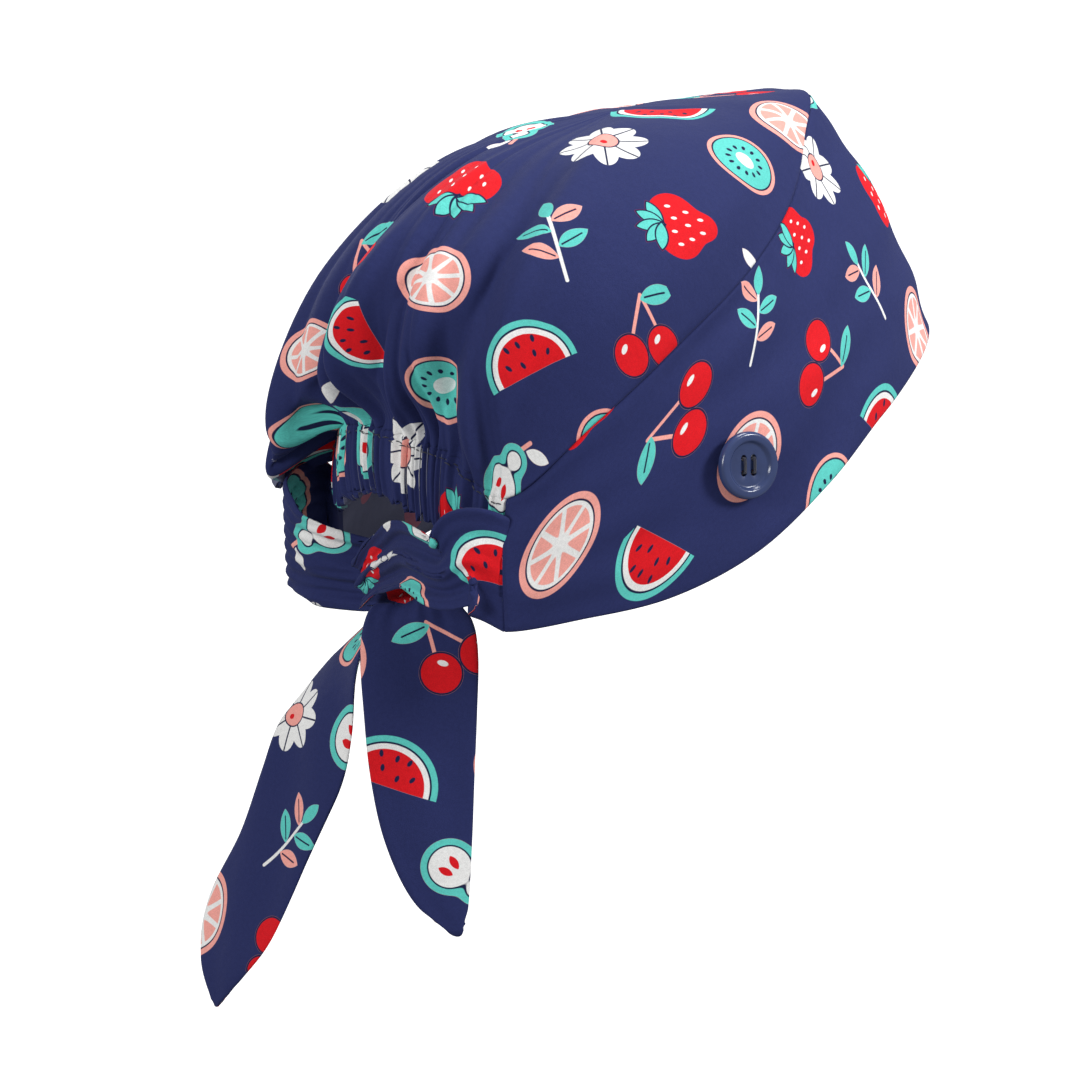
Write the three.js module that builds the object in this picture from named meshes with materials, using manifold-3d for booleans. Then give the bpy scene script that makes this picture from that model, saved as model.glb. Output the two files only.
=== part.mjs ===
// A surgical scrub cap tied at the nape. A gathered crown is sewn to a deep band, whose ends run on into two
// knotted ties. An elasticated channel draws the crown in across the back, and a mask button sits over each
// ear. Millimetres, +Z up. X runs to the wearer's left and Y to the back, from the head opening's centre.
import * as THREE from "three";
import { mergeVertices } from "three/addons/utils/BufferGeometryUtils.js";
import Module from "manifold-3d";

const wasm = await Module();
wasm.setup();

// Sizes of the cap.
const HALF_LENGTH = 104; // head opening, from its centre to the forehead
const HALF_WIDTH = 80; // head opening, from its centre to an ear
const CROWN_HEIGHT = 131; // from the centre of the opening to the top
const BAND_END = 135; // degrees round from the forehead where the band becomes a tie
const SEAM_GAP = 0.4; // between two pieces that are sewn together

// Cloth thicknesses. The band is faced, so it is thicker than the crown, and a tie is a turned tube.
const CROWN_CLOTH = 1.2;
const BAND_CLOTH = 1.6;
const CHANNEL_CLOTH = 2.2;
const TIE_CLOTH = 1.8;

// Gathers and folds.
const GATHERS = 13; // pleats across the elasticated channel
const GATHER_DEPTH = 1.7;
const GATHER_FADE = 0.12; // share of the crown over which the pleats fade out
const FOLD_DEPTH = 8; // the deepest soft fold in the crown
const FOLD_SWELL = 3.6; // brings a fold to about its depth where it is fullest
const FOLD_RISE = 0.9; // powers by which it swells from its foot and fades to its head
const FOLD_FADE = 1.4;
const SEAM_HOLD = 12; // power by which the cloth turns to the seam's own side only close to it
const TIE_PLEATS = 2; // where a tie is drawn together for the knot
const PLEAT_DEPTH = 2; // at most

// Ties.
const TIE_WIDTH = 36;
const TIE_START = 0.12; // share of the band's end that lies above the tie
const LEFT_TAIL_DROP = 99;
const RIGHT_TAIL_DROP = 128;

// Buttons.
const BUTTON_DIAMETER = 20;
const BUTTON_THICKNESS = 3.4;
const BUTTON_STANDOFF = 1.2; // clearance to the cloth, taken up by the thread
const BUTTON_AROUND = 93; // degrees round from the forehead
const BUTTON_DOWN = 0.63; // share of the way from the band's seam to the brim

// The crown on the wearer's right, mirrored for the left. Seam is where it is sewn on, and bulge, shoulder
// and top are even steps up from there. How far each stands out is a share of the opening's half size.
const CROWN_OUT = [
  { around: 0, seam: 0.6, bulge: 0.46, shoulder: 0.31, top: 0.16 },
  { around: 20, seam: 0.61, bulge: 0.47, shoulder: 0.32, top: 0.17 },
  { around: 45, seam: 0.62, bulge: 0.52, shoulder: 0.37, top: 0.19 },
  { around: 75, seam: 0.76, bulge: 0.66, shoulder: 0.48, top: 0.26 },
  { around: 100, seam: 0.93, bulge: 0.85, shoulder: 0.65, top: 0.36 },
  { around: 118, seam: 1.01, bulge: 0.98, shoulder: 0.78, top: 0.44 },
  { around: 135, seam: 0.97, bulge: 1.0, shoulder: 0.87, top: 0.49 },
  { around: 150, seam: 0.89, bulge: 0.98, shoulder: 0.89, top: 0.52 },
  { around: 165, seam: 0.86, bulge: 0.97, shoulder: 0.89, top: 0.53 },
  { around: 180, seam: 0.85, bulge: 0.98, shoulder: 0.89, top: 0.53 },
];

// How high each lies, as a share of CROWN_HEIGHT.
const CROWN_UP = [
  { around: 0, seam: 0.995, bulge: 0.985, shoulder: 0.975, top: 0.965 },
  { around: 20, seam: 0.985, bulge: 0.985, shoulder: 0.975, top: 0.965 },
  { around: 45, seam: 0.885, bulge: 0.95, shoulder: 0.965, top: 0.96 },
  { around: 75, seam: 0.69, bulge: 0.83, shoulder: 0.915, top: 0.95 },
  { around: 100, seam: 0.49, bulge: 0.69, shoulder: 0.84, top: 0.925 },
  { around: 118, seam: 0.29, bulge: 0.54, shoulder: 0.76, top: 0.9 },
  { around: 135, seam: 0.11, bulge: 0.4, shoulder: 0.67, top: 0.87 },
  { around: 150, seam: 0.195, bulge: 0.41, shoulder: 0.645, top: 0.85 },
  { around: 165, seam: 0.225, bulge: 0.41, shoulder: 0.63, top: 0.845 },
  { around: 180, seam: 0.238, bulge: 0.4, shoulder: 0.63, top: 0.845 },
];
const APEX_UP = 0.955;
const APEX_SHARE = 0.02; // the crown's top, where its side is taken from a little lower down

// The crown sags over its gathers towards the wearer's left, in the same degrees and shares.
const SAG_AROUND = 219;
const SAG_SPREAD = 21;
const SAG_OUT = 0.15;
const SAG_DROP = 0.26;
const SAG_SHOULDER = 0.33; // of the same drop, at the shoulder

// The band from the forehead to its end, in the same shares: its lower edge and its middle.
const BAND_SECTIONS = [
  { around: 0, edgeOut: 1.0, edgeUp: 0.43, middleOut: 0.83, middleUp: 0.73 },
  { around: 30, edgeOut: 1.0, edgeUp: 0.417, middleOut: 0.84, middleUp: 0.71 },
  { around: 60, edgeOut: 1.0, edgeUp: 0.255, middleOut: 0.88, middleUp: 0.54 },
  { around: 75, edgeOut: 1.0, edgeUp: 0.12, middleOut: 0.93, middleUp: 0.41 },
  { around: 90, edgeOut: 1.0, edgeUp: -0.023, middleOut: 0.98, middleUp: 0.28 },
  { around: 105, edgeOut: 1.0, edgeUp: -0.112, middleOut: 1.01, middleUp: 0.16 },
  { around: 120, edgeOut: 0.99, edgeUp: -0.157, middleOut: 1.02, middleUp: 0.05 },
  { around: 135, edgeOut: 0.98, edgeUp: -0.189, middleOut: 1.0, middleUp: -0.035 },
];

// The lower edge of the elasticated channel, from the band's end to the middle of the back.
const CHANNEL_SECTIONS = [
  { around: 135, edgeOut: 0.95, edgeUp: 0.0 },
  { around: 143, edgeOut: 0.92, edgeUp: 0.01 },
  { around: 155, edgeOut: 0.88, edgeUp: 0.04 },
  { around: 167, edgeOut: 0.85, edgeUp: 0.07 },
  { around: 180, edgeOut: 0.84, edgeUp: 0.09 },
];

// Soft folds that rise from the gathers. Foot is where each leaves the channel and head where it fades out,
// in degrees round, over 180 on the wearer's left. Spread is its half width in degrees, reach a share of the
// way to the top, and depth of FOLD_DEPTH, below 0 for a hollow.
const FOLDS = [
  { foot: 224, head: 226, spread: 5, reach: 0.5, depth: -0.5 },
  { foot: 204, head: 200, spread: 6, reach: 0.85, depth: 0.8 },
  { foot: 196, head: 176, spread: 5, reach: 0.85, depth: -1.2 },
  { foot: 185, head: 160, spread: 6, reach: 0.8, depth: 0.8 },
  { foot: 174, head: 152, spread: 5, reach: 0.7, depth: -0.7 },
  { foot: 164, head: 142, spread: 5, reach: 0.65, depth: 0.7 },
  { foot: 155, head: 130, spread: 5, reach: 0.7, depth: -0.9 },
  { foot: 146, head: 118, spread: 6, reach: 0.85, depth: 1.0 },
  { foot: 139, head: 120, spread: 5, reach: 0.5, depth: -0.5 },
];

// Each tie from the band's end through the knot. Right and back are shares of the opening's half sizes and
// up of CROWN_HEIGHT. Wide is a share of TIE_WIDTH, and roll turns the cloth about its own length in degrees.
const RIGHT_TIE = [
  { right: 0.686, back: 0.686, up: -0.06, wide: 0.95, roll: 0 },
  { right: 0.64, back: 0.785, up: -0.02, wide: 0.86, roll: 0 },
  { right: 0.52, back: 0.825, up: -0.06, wide: 0.58, roll: 0 },
  { right: 0.36, back: 0.835, up: -0.05, wide: 0.56, roll: 0 },
  { right: 0.2, back: 0.825, up: -0.045, wide: 0.56, roll: 0 },
  { right: 0.05, back: 0.81, up: -0.07, wide: 0.5, roll: 0 },
  { right: -0.09, back: 0.8, up: -0.1, wide: 0.44, roll: 0 },
  { right: -0.22, back: 0.795, up: -0.15, wide: 0.4, roll: 0 },
];
const LEFT_TIE = [
  { right: -0.686, back: 0.686, up: -0.06, wide: 0.95, roll: 0 },
  { right: -0.73, back: 0.79, up: -0.03, wide: 1.12, roll: 0 },
  { right: -0.64, back: 0.87, up: -0.06, wide: 1.08, roll: 0 },
  { right: -0.47, back: 0.85, up: -0.11, wide: 0.86, roll: 0 },
  { right: -0.3, back: 0.75, up: -0.13, wide: 0.64, roll: 0 },
  { right: -0.13, back: 0.7, up: -0.12, wide: 0.54, roll: 0 },
  { right: 0.0, back: 0.695, up: -0.12, wide: 0.5, roll: 0 },
  { right: 0.09, back: 0.71, up: -0.145, wide: 0.62, roll: -15 },
  { right: 0.12, back: 0.73, up: -0.2, wide: 0.9, roll: -42 },
];

// Each tail from the knot to its tip. Drop, sideways and backwards are shares of the tail's drop, and leading
// and trailing how far the cloth reaches to either side of its middle, as shares of half TIE_WIDTH.
const LEFT_TAIL = [
  { drop: 0.12, right: 0.0, back: 0.0, leading: 1.0, trailing: 1.0, roll: -52 },
  { drop: 0.3, right: 0.0, back: 0.0, leading: 0.95, trailing: 0.97, roll: -52 },
  { drop: 0.5, right: 0.0, back: 0.0, leading: 0.84, trailing: 0.92, roll: -52 },
  { drop: 0.7, right: 0.0, back: 0.0, leading: 0.6, trailing: 0.88, roll: -52 },
  { drop: 0.88, right: 0.0, back: 0.0, leading: 0.15, trailing: 0.83, roll: -52 },
  { drop: 1.0, right: 0.0, back: 0.0, leading: -0.5, trailing: 0.76, roll: -52 },
];
const RIGHT_TAIL = [
  { drop: 0.0, right: 0.0, back: 0.0, leading: 0.6, trailing: 0.6, roll: -5 },
  { drop: 0.14, right: 0.0, back: 0.13, leading: 0.85, trailing: 0.85, roll: -10 },
  { drop: 0.3, right: -0.01, back: 0.2, leading: 1.0, trailing: 1.0, roll: -25 },
  { drop: 0.45, right: -0.04, back: 0.24, leading: 1.0, trailing: 1.0, roll: -30 },
  { drop: 0.62, right: -0.07, back: 0.3, leading: 1.0, trailing: 0.95, roll: -30 },
  { drop: 0.78, right: -0.11, back: 0.37, leading: 1.0, trailing: 0.95, roll: -30 },
  { drop: 0.9, right: -0.13, back: 0.41, leading: 0.62, trailing: 0.62, roll: -30 },
  { drop: 1.0, right: -0.14, back: 0.42, leading: 0.08, trailing: 0.08, roll: -30 },
];

// The far tail starts behind the left tie, in the same shares as a tie's row, and below its middle.
const RIGHT_TAIL_ROOT = { right: -0.36, back: 0.7, up: -0.12, wide: 1, roll: 0 };
const TAIL_BEHIND = 7.4;
const TAIL_BELOW = 0.29; // of TIE_WIDTH

const colours = { navy: 0x2b2f66, navyDark: 0x252a58, button: 0x2f3f73 };

function clothMaterial(colour) {
  return new THREE.MeshStandardMaterial({ color: colour, roughness: 0.85, metalness: 0 });
}

// The values of a list, carried on evenly before its first and after its last.
function carriedOn(values, i) {
  const last = values.length - 1;
  if (i < 0) return 2 * values[0] - values[1];
  if (i > last) return 2 * values[last] - values[last - 1];
  return values[i];
}

// All columns of a table at x, on a smooth curve through its rows. The table is mirrored at both ends.
function atRow(rows, key, x) {
  const last = rows.length - 1;
  const keys = rows.map((row) => row[key]);
  const mirrored = (k) => rows[k < 0 ? 1 : k > last ? last - 1 : k];
  let i = 0;
  while (i < last - 1 && x > keys[i + 1]) i++;
  const near = [i - 1, i, i + 1, i + 2];
  const [x0, x1, x2, x3] = near.map((k) => carriedOn(keys, k));
  const [row0, row1, row2, row3] = near.map(mirrored);
  const t = THREE.MathUtils.clamp((x - x1) / (x2 - x1), 0, 1);
  const result = {};
  for (const name of Object.keys(row1)) {
    const slope1 = ((row2[name] - row0[name]) / (x2 - x0)) * (x2 - x1);
    const slope2 = ((row3[name] - row1[name]) / (x3 - x1)) * (x2 - x1);
    result[name] = hermite(row1[name], slope1, row2[name], slope2, t);
  }
  return result;
}

function hermite(a, slopeA, b, slopeB, t) {
  const t2 = t * t;
  const t3 = t2 * t;
  return (2 * t3 - 3 * t2 + 1) * a + (t3 - 2 * t2 + t) * slopeA + (3 * t2 - 2 * t3) * b + (t3 - t2) * slopeB;
}

// A smooth curve through evenly spaced values, at t from 0 to 1.
function throughValues(values, t) {
  const last = values.length - 1;
  const scaled = THREE.MathUtils.clamp(t, 0, 1) * last;
  const i = Math.min(last - 1, Math.floor(scaled));
  const slope = (k) => (carriedOn(values, k + 1) - carriedOn(values, k - 1)) / 2;
  return hermite(values[i], slope(i), values[i + 1], slope(i + 1), scaled - i);
}

// Degrees from the forehead, 0 to 180 on either side, for any angle.
function halfTurn(around) {
  return Math.abs(THREE.MathUtils.euclideanModulo(around + 180, 360) - 180);
}

// The point at an angle round the head, out and up as shares of the cap's sizes.
function shared(around, out, up) {
  const a = THREE.MathUtils.degToRad(around);
  const [x, y] = [-Math.sin(a) * HALF_WIDTH * out, -Math.cos(a) * HALF_LENGTH * out];
  return new THREE.Vector3(x, y, up * CROWN_HEIGHT);
}

// The crown without its folds, down from the apex at 0 to its sewn edge at 1.
function smoothCrown(around, down) {
  const out = atRow(CROWN_OUT, "around", halfTurn(around));
  const up = atRow(CROWN_UP, "around", halfTurn(around));
  const off = (THREE.MathUtils.euclideanModulo(around, 360) - SAG_AROUND) / SAG_SPREAD;
  const sag = Math.exp(-off * off);
  const drop = sag * SAG_DROP;
  const outs = [0, out.top, out.shoulder, out.bulge + sag * SAG_OUT, out.seam];
  const ups = [APEX_UP, up.top, up.shoulder - drop * SAG_SHOULDER, up.bulge - drop, up.seam];
  return shared(around, throughValues(outs, down), throughValues(ups, down));
}

function outwards(surface, around, down) {
  const step = 0.01;
  const alongDown = surface(around, down + step).sub(surface(around, down - step));
  const alongAround = surface(around + 1, down).sub(surface(around - 1, down));
  return alongAround.cross(alongDown).normalize();
}

// How far the crown's cloth stands out in folds and gathers.
function foldHeight(around, down) {
  const turn = THREE.MathUtils.euclideanModulo(around, 360);
  const rise = 1 - down;
  let height = 0;
  for (const fold of FOLDS) {
    const along = rise / fold.reach;
    if (along >= 1) continue;
    const swell = FOLD_SWELL * Math.pow(along, FOLD_RISE) * Math.pow(1 - along, FOLD_FADE);
    const off = (turn - fold.foot - (fold.head - fold.foot) * along) / fold.spread;
    height += FOLD_DEPTH * fold.depth * swell * Math.exp(-off * off);
  }
  return height + gatherHeight(turn) * Math.exp(-rise / GATHER_FADE);
}

// Even pleats between the two ends of the channel, none outside it.
function gatherHeight(turn) {
  const share = (turn - BAND_END) / (360 - 2 * BAND_END);
  if (share <= 0 || share >= 1) return 0;
  return (GATHER_DEPTH / 2) * (Math.cos(2 * Math.PI * GATHERS * share) - 1);
}

// The side the seam faces, halfway between the crown and the piece below it.
function seamSide(around) {
  const below = halfTurn(around) <= BAND_END ? bandSurface : smoothChannel;
  return outwards(smoothCrown, around, 1).add(outwards(below, around, 0)).normalize();
}

function crownSurface(around, down) {
  const side = outwards(smoothCrown, around, Math.max(down, APEX_SHARE));
  side.lerp(seamSide(around), Math.pow(down, SEAM_HOLD)).normalize();
  return smoothCrown(around, down).addScaledVector(side, foldHeight(around, down));
}

// The band, from its sewn edge at 0 down to the brim at 1.
function bandSurface(around, down) {
  const s = atRow(BAND_SECTIONS, "around", Math.min(halfTurn(around), BAND_END));
  const outs = [atRow(CROWN_OUT, "around", halfTurn(around)).seam, s.middleOut, s.edgeOut];
  const ups = [atRow(CROWN_UP, "around", halfTurn(around)).seam, s.middleUp, s.edgeUp];
  return shared(around, throughValues(outs, down), throughValues(ups, down));
}

// The channel without its gathers, from the stitches at 0 down to its lower edge at 1.
function smoothChannel(around, down) {
  const s = atRow(CHANNEL_SECTIONS, "around", Math.max(halfTurn(around), BAND_END));
  const seamOut = atRow(CROWN_OUT, "around", halfTurn(around)).seam;
  const seamUp = atRow(CROWN_UP, "around", halfTurn(around)).seam;
  const out = THREE.MathUtils.lerp(seamOut, s.edgeOut, down);
  const up = THREE.MathUtils.lerp(seamUp, s.edgeUp, down);
  return shared(around, out, up);
}

function channelSurface(around, down) {
  const side = seamSide(around).lerp(outwards(smoothChannel, around, down), down).normalize();
  const height = gatherHeight(THREE.MathUtils.euclideanModulo(around, 360));
  return smoothChannel(around, down).addScaledVector(side, height);
}

// A wall of cloth inwards from a grid of points, which is its outer face. A ring's last column meets its
// first, and a pole draws row 0 together in one point. sideAt may say which way the cloth faces at a row and
// column, so that two sewn walls meet edge to edge.
function clothWall(points, thickness, { ring = false, pole = false, sideAt = () => null } = {}) {
  const rows = points.length;
  const columns = points[0].length;
  const wrap = (j) => (ring ? (j + columns) % columns : THREE.MathUtils.clamp(j, 0, columns - 1));
  const near = (i) => THREE.MathUtils.clamp(i, 0, rows - 1);
  const normals = points.map((row, i) =>
    row.map((_, j) => {
      const given = sideAt(i, j);
      if (given) return given;
      const alongRows = points[near(i + 1)][j].clone().sub(points[near(i - 1)][j]);
      const alongColumns = points[i][wrap(j + 1)].clone().sub(points[i][wrap(j - 1)]);
      return alongColumns.cross(alongRows).normalize();
    })
  );
  const positions = [];
  for (const depth of [0, -thickness]) {
    points.forEach((row, i) =>
      row.forEach((p, j) => {
        const normal = pole && i === 0 ? new THREE.Vector3(0, 0, 1) : normals[i][j];
        positions.push(...p.clone().addScaledVector(normal, depth).toArray());
      })
    );
  }
  const outer = (i, j) => i * columns + wrap(j);
  const inner = (i, j) => rows * columns + outer(i, j);
  const faces = [];
  const quad = (a, b, c, d) => faces.push(a, b, c, a, c, d);
  const lastColumn = ring ? columns : columns - 1;
  for (let i = 0; i < rows - 1; i++) {
    for (let j = 0; j < lastColumn; j++) {
      if (pole && i === 0) {
        faces.push(outer(0, 0), outer(1, j + 1), outer(1, j));
        faces.push(inner(0, 0), inner(1, j), inner(1, j + 1));
        continue;
      }
      quad(outer(i, j), outer(i, j + 1), outer(i + 1, j + 1), outer(i + 1, j));
      quad(inner(i, j), inner(i + 1, j), inner(i + 1, j + 1), inner(i, j + 1));
    }
  }
  for (let j = 0; j < lastColumn; j++) {
    quad(outer(rows - 1, j), outer(rows - 1, j + 1), inner(rows - 1, j + 1), inner(rows - 1, j));
    if (!pole) quad(outer(0, j + 1), outer(0, j), inner(0, j), inner(0, j + 1));
  }
  const end = columns - 1;
  for (let i = 0; i < rows - 1 && !ring; i++) {
    quad(outer(i, 0), outer(i + 1, 0), inner(i + 1, 0), inner(i, 0));
    quad(outer(i + 1, end), outer(i, end), inner(i, end), inner(i + 1, end));
  }
  const geometry = new THREE.BufferGeometry();
  geometry.setAttribute("position", new THREE.Float32BufferAttribute(positions, 3));
  geometry.setIndex(faces);
  geometry.computeVertexNormals();
  return geometry;
}

function grid(rowValues, columnValues, pointAt) {
  return rowValues.map((r) => columnValues.map((c) => pointAt(r, c)));
}

// Even steps, ends included.
function steps(from, to, count) {
  return Array.from({ length: count + 1 }, (_, i) => from + ((to - from) * i) / count);
}

// A length in millimetres as a share of a surface's own height at an angle.
function shareOfHeight(surface, around, length) {
  const places = steps(0, 1, 8).map((down) => surface(around, down));
  const height = places.slice(1).reduce((sum, place, i) => sum + place.distanceTo(places[i]), 0);
  return length / height;
}

function named(name, geometry, material) {
  const mesh = new THREE.Mesh(geometry, material);
  mesh.name = name;
  return mesh;
}

// How finely the cloth is faceted.
const COLUMNS_PER_GATHER = 4;
const BAND_COLUMNS = 38;
const BAND_ROWS = 5;
const CHANNEL_ROWS = 3;
const CROWN_ROWS = [0, 0.05, 0.12, 0.2, 0.29, 0.38, 0.47, 0.56, 0.65, 0.73, 0.8, 0.86, 0.92, 0.96, 1];
const TIE_COLUMNS = 10;
const TAIL_COLUMNS = 6;
const RIGHT_TIE_ROWS = 22;
const LEFT_TIE_ROWS = 40;
const RIGHT_TAIL_ROWS = 16;

const backColumns = steps(BAND_END, 360 - BAND_END, GATHERS * COLUMNS_PER_GATHER);
const frontColumns = steps(-BAND_END, BAND_END, BAND_COLUMNS);

function makeCrown() {
  const around = [...backColumns, ...frontColumns.slice(1, -1)];
  const points = grid(CROWN_ROWS, around, (down, a) => {
    const edge = 1 - shareOfHeight(smoothCrown, a, SEAM_GAP / 2);
    return crownSurface(a, down * edge);
  });
  const sideAt = (i, j) => (i === CROWN_ROWS.length - 1 ? seamSide(around[j]) : null);
  const wall = clothWall(points, CROWN_CLOTH, { ring: true, pole: true, sideAt });
  return named("crown", wall, clothMaterial(colours.navy));
}

function makeBand() {
  const downs = steps(0, 1, BAND_ROWS);
  const points = grid(downs, frontColumns, (down, a) => {
    const start = shareOfHeight(bandSurface, a, SEAM_GAP / 2);
    return bandSurface(a, THREE.MathUtils.lerp(start, 1, down));
  });
  const sideAt = (i, j) => (i ? outwards(bandSurface, frontColumns[j], downs[i]) : seamSide(frontColumns[j]));
  return named("band", clothWall(points, BAND_CLOTH, { sideAt }), clothMaterial(colours.navy));
}

function makeChannel() {
  const endGap = THREE.MathUtils.radToDeg(SEAM_GAP / HALF_LENGTH);
  const around = steps(BAND_END + endGap, 360 - BAND_END - endGap, GATHERS * COLUMNS_PER_GATHER);
  const points = grid(steps(0, 1, CHANNEL_ROWS), around, (down, a) => {
    const start = shareOfHeight(channelSurface, a, SEAM_GAP / 2);
    return channelSurface(a, THREE.MathUtils.lerp(start, 1, down));
  });
  const sideAt = (i, j) => (i === 0 ? seamSide(around[j]) : null);
  return named("elastic_channel", clothWall(points, CHANNEL_CLOTH, { sideAt }), clothMaterial(colours.navy));
}

// A place on a tie, at t from 0 to 1 along its rows: its middle, width direction, outer side and half widths.
function tieSection(path, t) {
  const value = (name, at) => throughValues(path.map((row) => row[name]), at);
  const middle = (at) => new THREE.Vector3(value("x", at), value("y", at), value("z", at));
  const step = 0.01;
  const along = middle(Math.min(1, t + step)).sub(middle(Math.max(0, t - step))).normalize();
  const centre = middle(t);
  const outer = new THREE.Vector3(centre.x, centre.y, 0).normalize();
  outer.addScaledVector(along, -outer.dot(along)).normalize();
  outer.applyAxisAngle(along, THREE.MathUtils.degToRad(value("roll", t)));
  const across = along.clone().cross(outer);
  const [leading, trailing, pleat] = ["leading", "trailing", "pleat"].map((name) => value(name, t));
  return { centre, across, outer, leading, trailing, pleat };
}

// A point on a tie's outer face, at t along it and across from -1 to 1. Where the tie is narrower than its
// cloth it stands in pleats.
function tiePoint(path, t, across) {
  const s = tieSection(path, t);
  const width = s.leading + s.trailing;
  const offset = (width * (across + 1)) / 2 - s.trailing;
  const spare = Math.max(0, TIE_WIDTH / width - 1);
  const depth = Math.min(PLEAT_DEPTH, (width / (Math.PI * TIE_PLEATS * 2)) * Math.sqrt(spare));
  const wave = s.pleat * depth * Math.cos(Math.PI * TIE_PLEATS * across);
  return s.centre.addScaledVector(s.across, offset).addScaledVector(s.outer, wave);
}

function knotPath(rows) {
  return rows.map((row) => ({
    x: -row.right * HALF_WIDTH,
    y: row.back * HALF_LENGTH,
    z: row.up * CROWN_HEIGHT,
    leading: (row.wide * TIE_WIDTH) / 2,
    trailing: (row.wide * TIE_WIDTH) / 2,
    roll: row.roll,
    pleat: 1,
  }));
}

function tailPath(root, rows, drop) {
  return rows.map((row) => ({
    x: root.x - row.right * drop,
    y: root.y + row.back * drop,
    z: root.z - row.drop * drop,
    leading: (row.leading * TIE_WIDTH) / 2,
    trailing: (row.trailing * TIE_WIDTH) / 2,
    roll: row.roll,
    pleat: 0,
  }));
}

const acrossTie = steps(-1, 1, TIE_COLUMNS);
const BAND_TO_TIE = 0.14; // share of a knot path over which the tie takes up its own shape

// A tie whose first row lies along the end of the band, on the wearer's right for 1 and left for -1.
function makeTie(name, side, path, count) {
  const end = side * (BAND_END + THREE.MathUtils.radToDeg(SEAM_GAP / (HALF_WIDTH * Math.SQRT1_2)));
  const downAt = (across) => THREE.MathUtils.lerp(TIE_START, 1, (1 - side * across) / 2);
  const points = grid(steps(0, 1, count), acrossTie, (t, across) => {
    const sewn = bandSurface(end, downAt(across));
    return sewn.lerp(tiePoint(path, t, across), THREE.MathUtils.smoothstep(t, 0, BAND_TO_TIE));
  });
  const sideAt = (i, j) => (i === 0 ? outwards(bandSurface, end, downAt(acrossTie[j])) : null);
  return named(name, clothWall(points, TIE_CLOTH, { sideAt }), clothMaterial(colours.navyDark));
}

function makeTail(name, path, count) {
  const places = [steps(0, 1, count), steps(-1, 1, TAIL_COLUMNS)];
  const points = grid(...places, (t, across) => tiePoint(path, t, across));
  return named(name, clothWall(points, TIE_CLOTH), clothMaterial(colours.navyDark));
}

// A round button with a raised rim and four holes, face up, its back at height 0.
const RIM_WIDTH = 0.13; // shares of the diameter
const FACE_DROP = 0.06;
const HOLE_DIAMETER = 2;
const HOLE_SPACING_X = 3.4;
const HOLE_SPACING_Y = 4.4;
const THREAD_DIAMETER = 0.9;
const THREAD_CLEARANCE = 0.1;
const BUTTON_SIDES = 32;
const HOLE_SIDES = 12;
const THREAD_SIDES = 8;

const holePlaces = [-1, 1].flatMap((x) =>
  [-1, 1].map((y) => [(x * HOLE_SPACING_X) / 2, (y * HOLE_SPACING_Y) / 2])
);

function toSolid(geometry) {
  const bare = new THREE.BufferGeometry();
  bare.setAttribute("position", geometry.getAttribute("position"));
  bare.setIndex(geometry.getIndex());
  const welded = mergeVertices(bare, 1e-4);
  const corners = welded.getIndex().array;
  const place = welded.getAttribute("position");
  const faces = [];
  for (let i = 0; i < corners.length; i += 3) {
    const [a, b, c] = corners.subarray(i, i + 3);
    if (a !== b && b !== c && c !== a) faces.push(a, b, c);
  }
  const vertProperties = new Float32Array(place.array);
  return new wasm.Manifold(new wasm.Mesh({ numProp: 3, vertProperties, triVerts: new Uint32Array(faces) }));
}

// A rod along Z from its foot up to its top.
function rod(radius, foot, top, sides, x, y) {
  const geometry = new THREE.CylinderGeometry(radius, radius, top - foot, sides).rotateX(Math.PI / 2);
  return toSolid(geometry.translate(x, y, (foot + top) / 2));
}

function buttonSolid() {
  const radius = BUTTON_DIAMETER / 2;
  const top = BUTTON_THICKNESS;
  const face = top - FACE_DROP * BUTTON_DIAMETER;
  const rim = RIM_WIDTH * BUTTON_DIAMETER;
  const edge = BUTTON_THICKNESS / 4;
  const profile = [
    new THREE.Vector2(0, 0),
    new THREE.Vector2(radius - edge, 0),
    new THREE.Vector2(radius, edge),
    new THREE.Vector2(radius, top - edge),
    new THREE.Vector2(radius - edge, top),
    new THREE.Vector2(radius - rim, top),
    new THREE.Vector2(radius - rim - edge, face),
    new THREE.Vector2(0, face),
  ];
  let solid = toSolid(new THREE.LatheGeometry(profile, BUTTON_SIDES).rotateX(Math.PI / 2));
  for (const [x, y] of holePlaces) {
    solid = solid.subtract(rod(HOLE_DIAMETER / 2, -top, top * 2, HOLE_SIDES, x, y));
  }
  return solid;
}

// Two strands over the button's face, down its holes and together behind it.
function threadSolid() {
  const face = BUTTON_THICKNESS - FACE_DROP * BUTTON_DIAMETER;
  const radius = THREAD_DIAMETER / 2;
  const foot = THREAD_CLEARANCE - BUTTON_STANDOFF;
  const top = face + THREAD_CLEARANCE + THREAD_DIAMETER;
  const shank = new THREE.BoxGeometry(HOLE_SPACING_X, HOLE_SPACING_Y, BUTTON_STANDOFF - 2 * THREAD_CLEARANCE);
  let solid = toSolid(shank.translate(0, 0, -BUTTON_STANDOFF / 2));
  for (const [x, y] of holePlaces) solid = solid.add(rod(radius, foot, top, THREAD_SIDES, x, y));
  for (const x of [-1, 1]) {
    const strand = new THREE.BoxGeometry(THREAD_DIAMETER, HOLE_SPACING_Y, THREAD_DIAMETER);
    solid = solid.add(toSolid(strand.translate((x * HOLE_SPACING_X) / 2, 0, top - radius)));
  }
  return solid;
}

function toGeometry(solid) {
  const mesh = solid.getMesh();
  const geometry = new THREE.BufferGeometry();
  geometry.setAttribute("position", new THREE.Float32BufferAttribute(mesh.vertProperties, 3));
  geometry.setIndex(new THREE.Uint32BufferAttribute(mesh.triVerts, 1));
  geometry.computeVertexNormals();
  return geometry;
}

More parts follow.
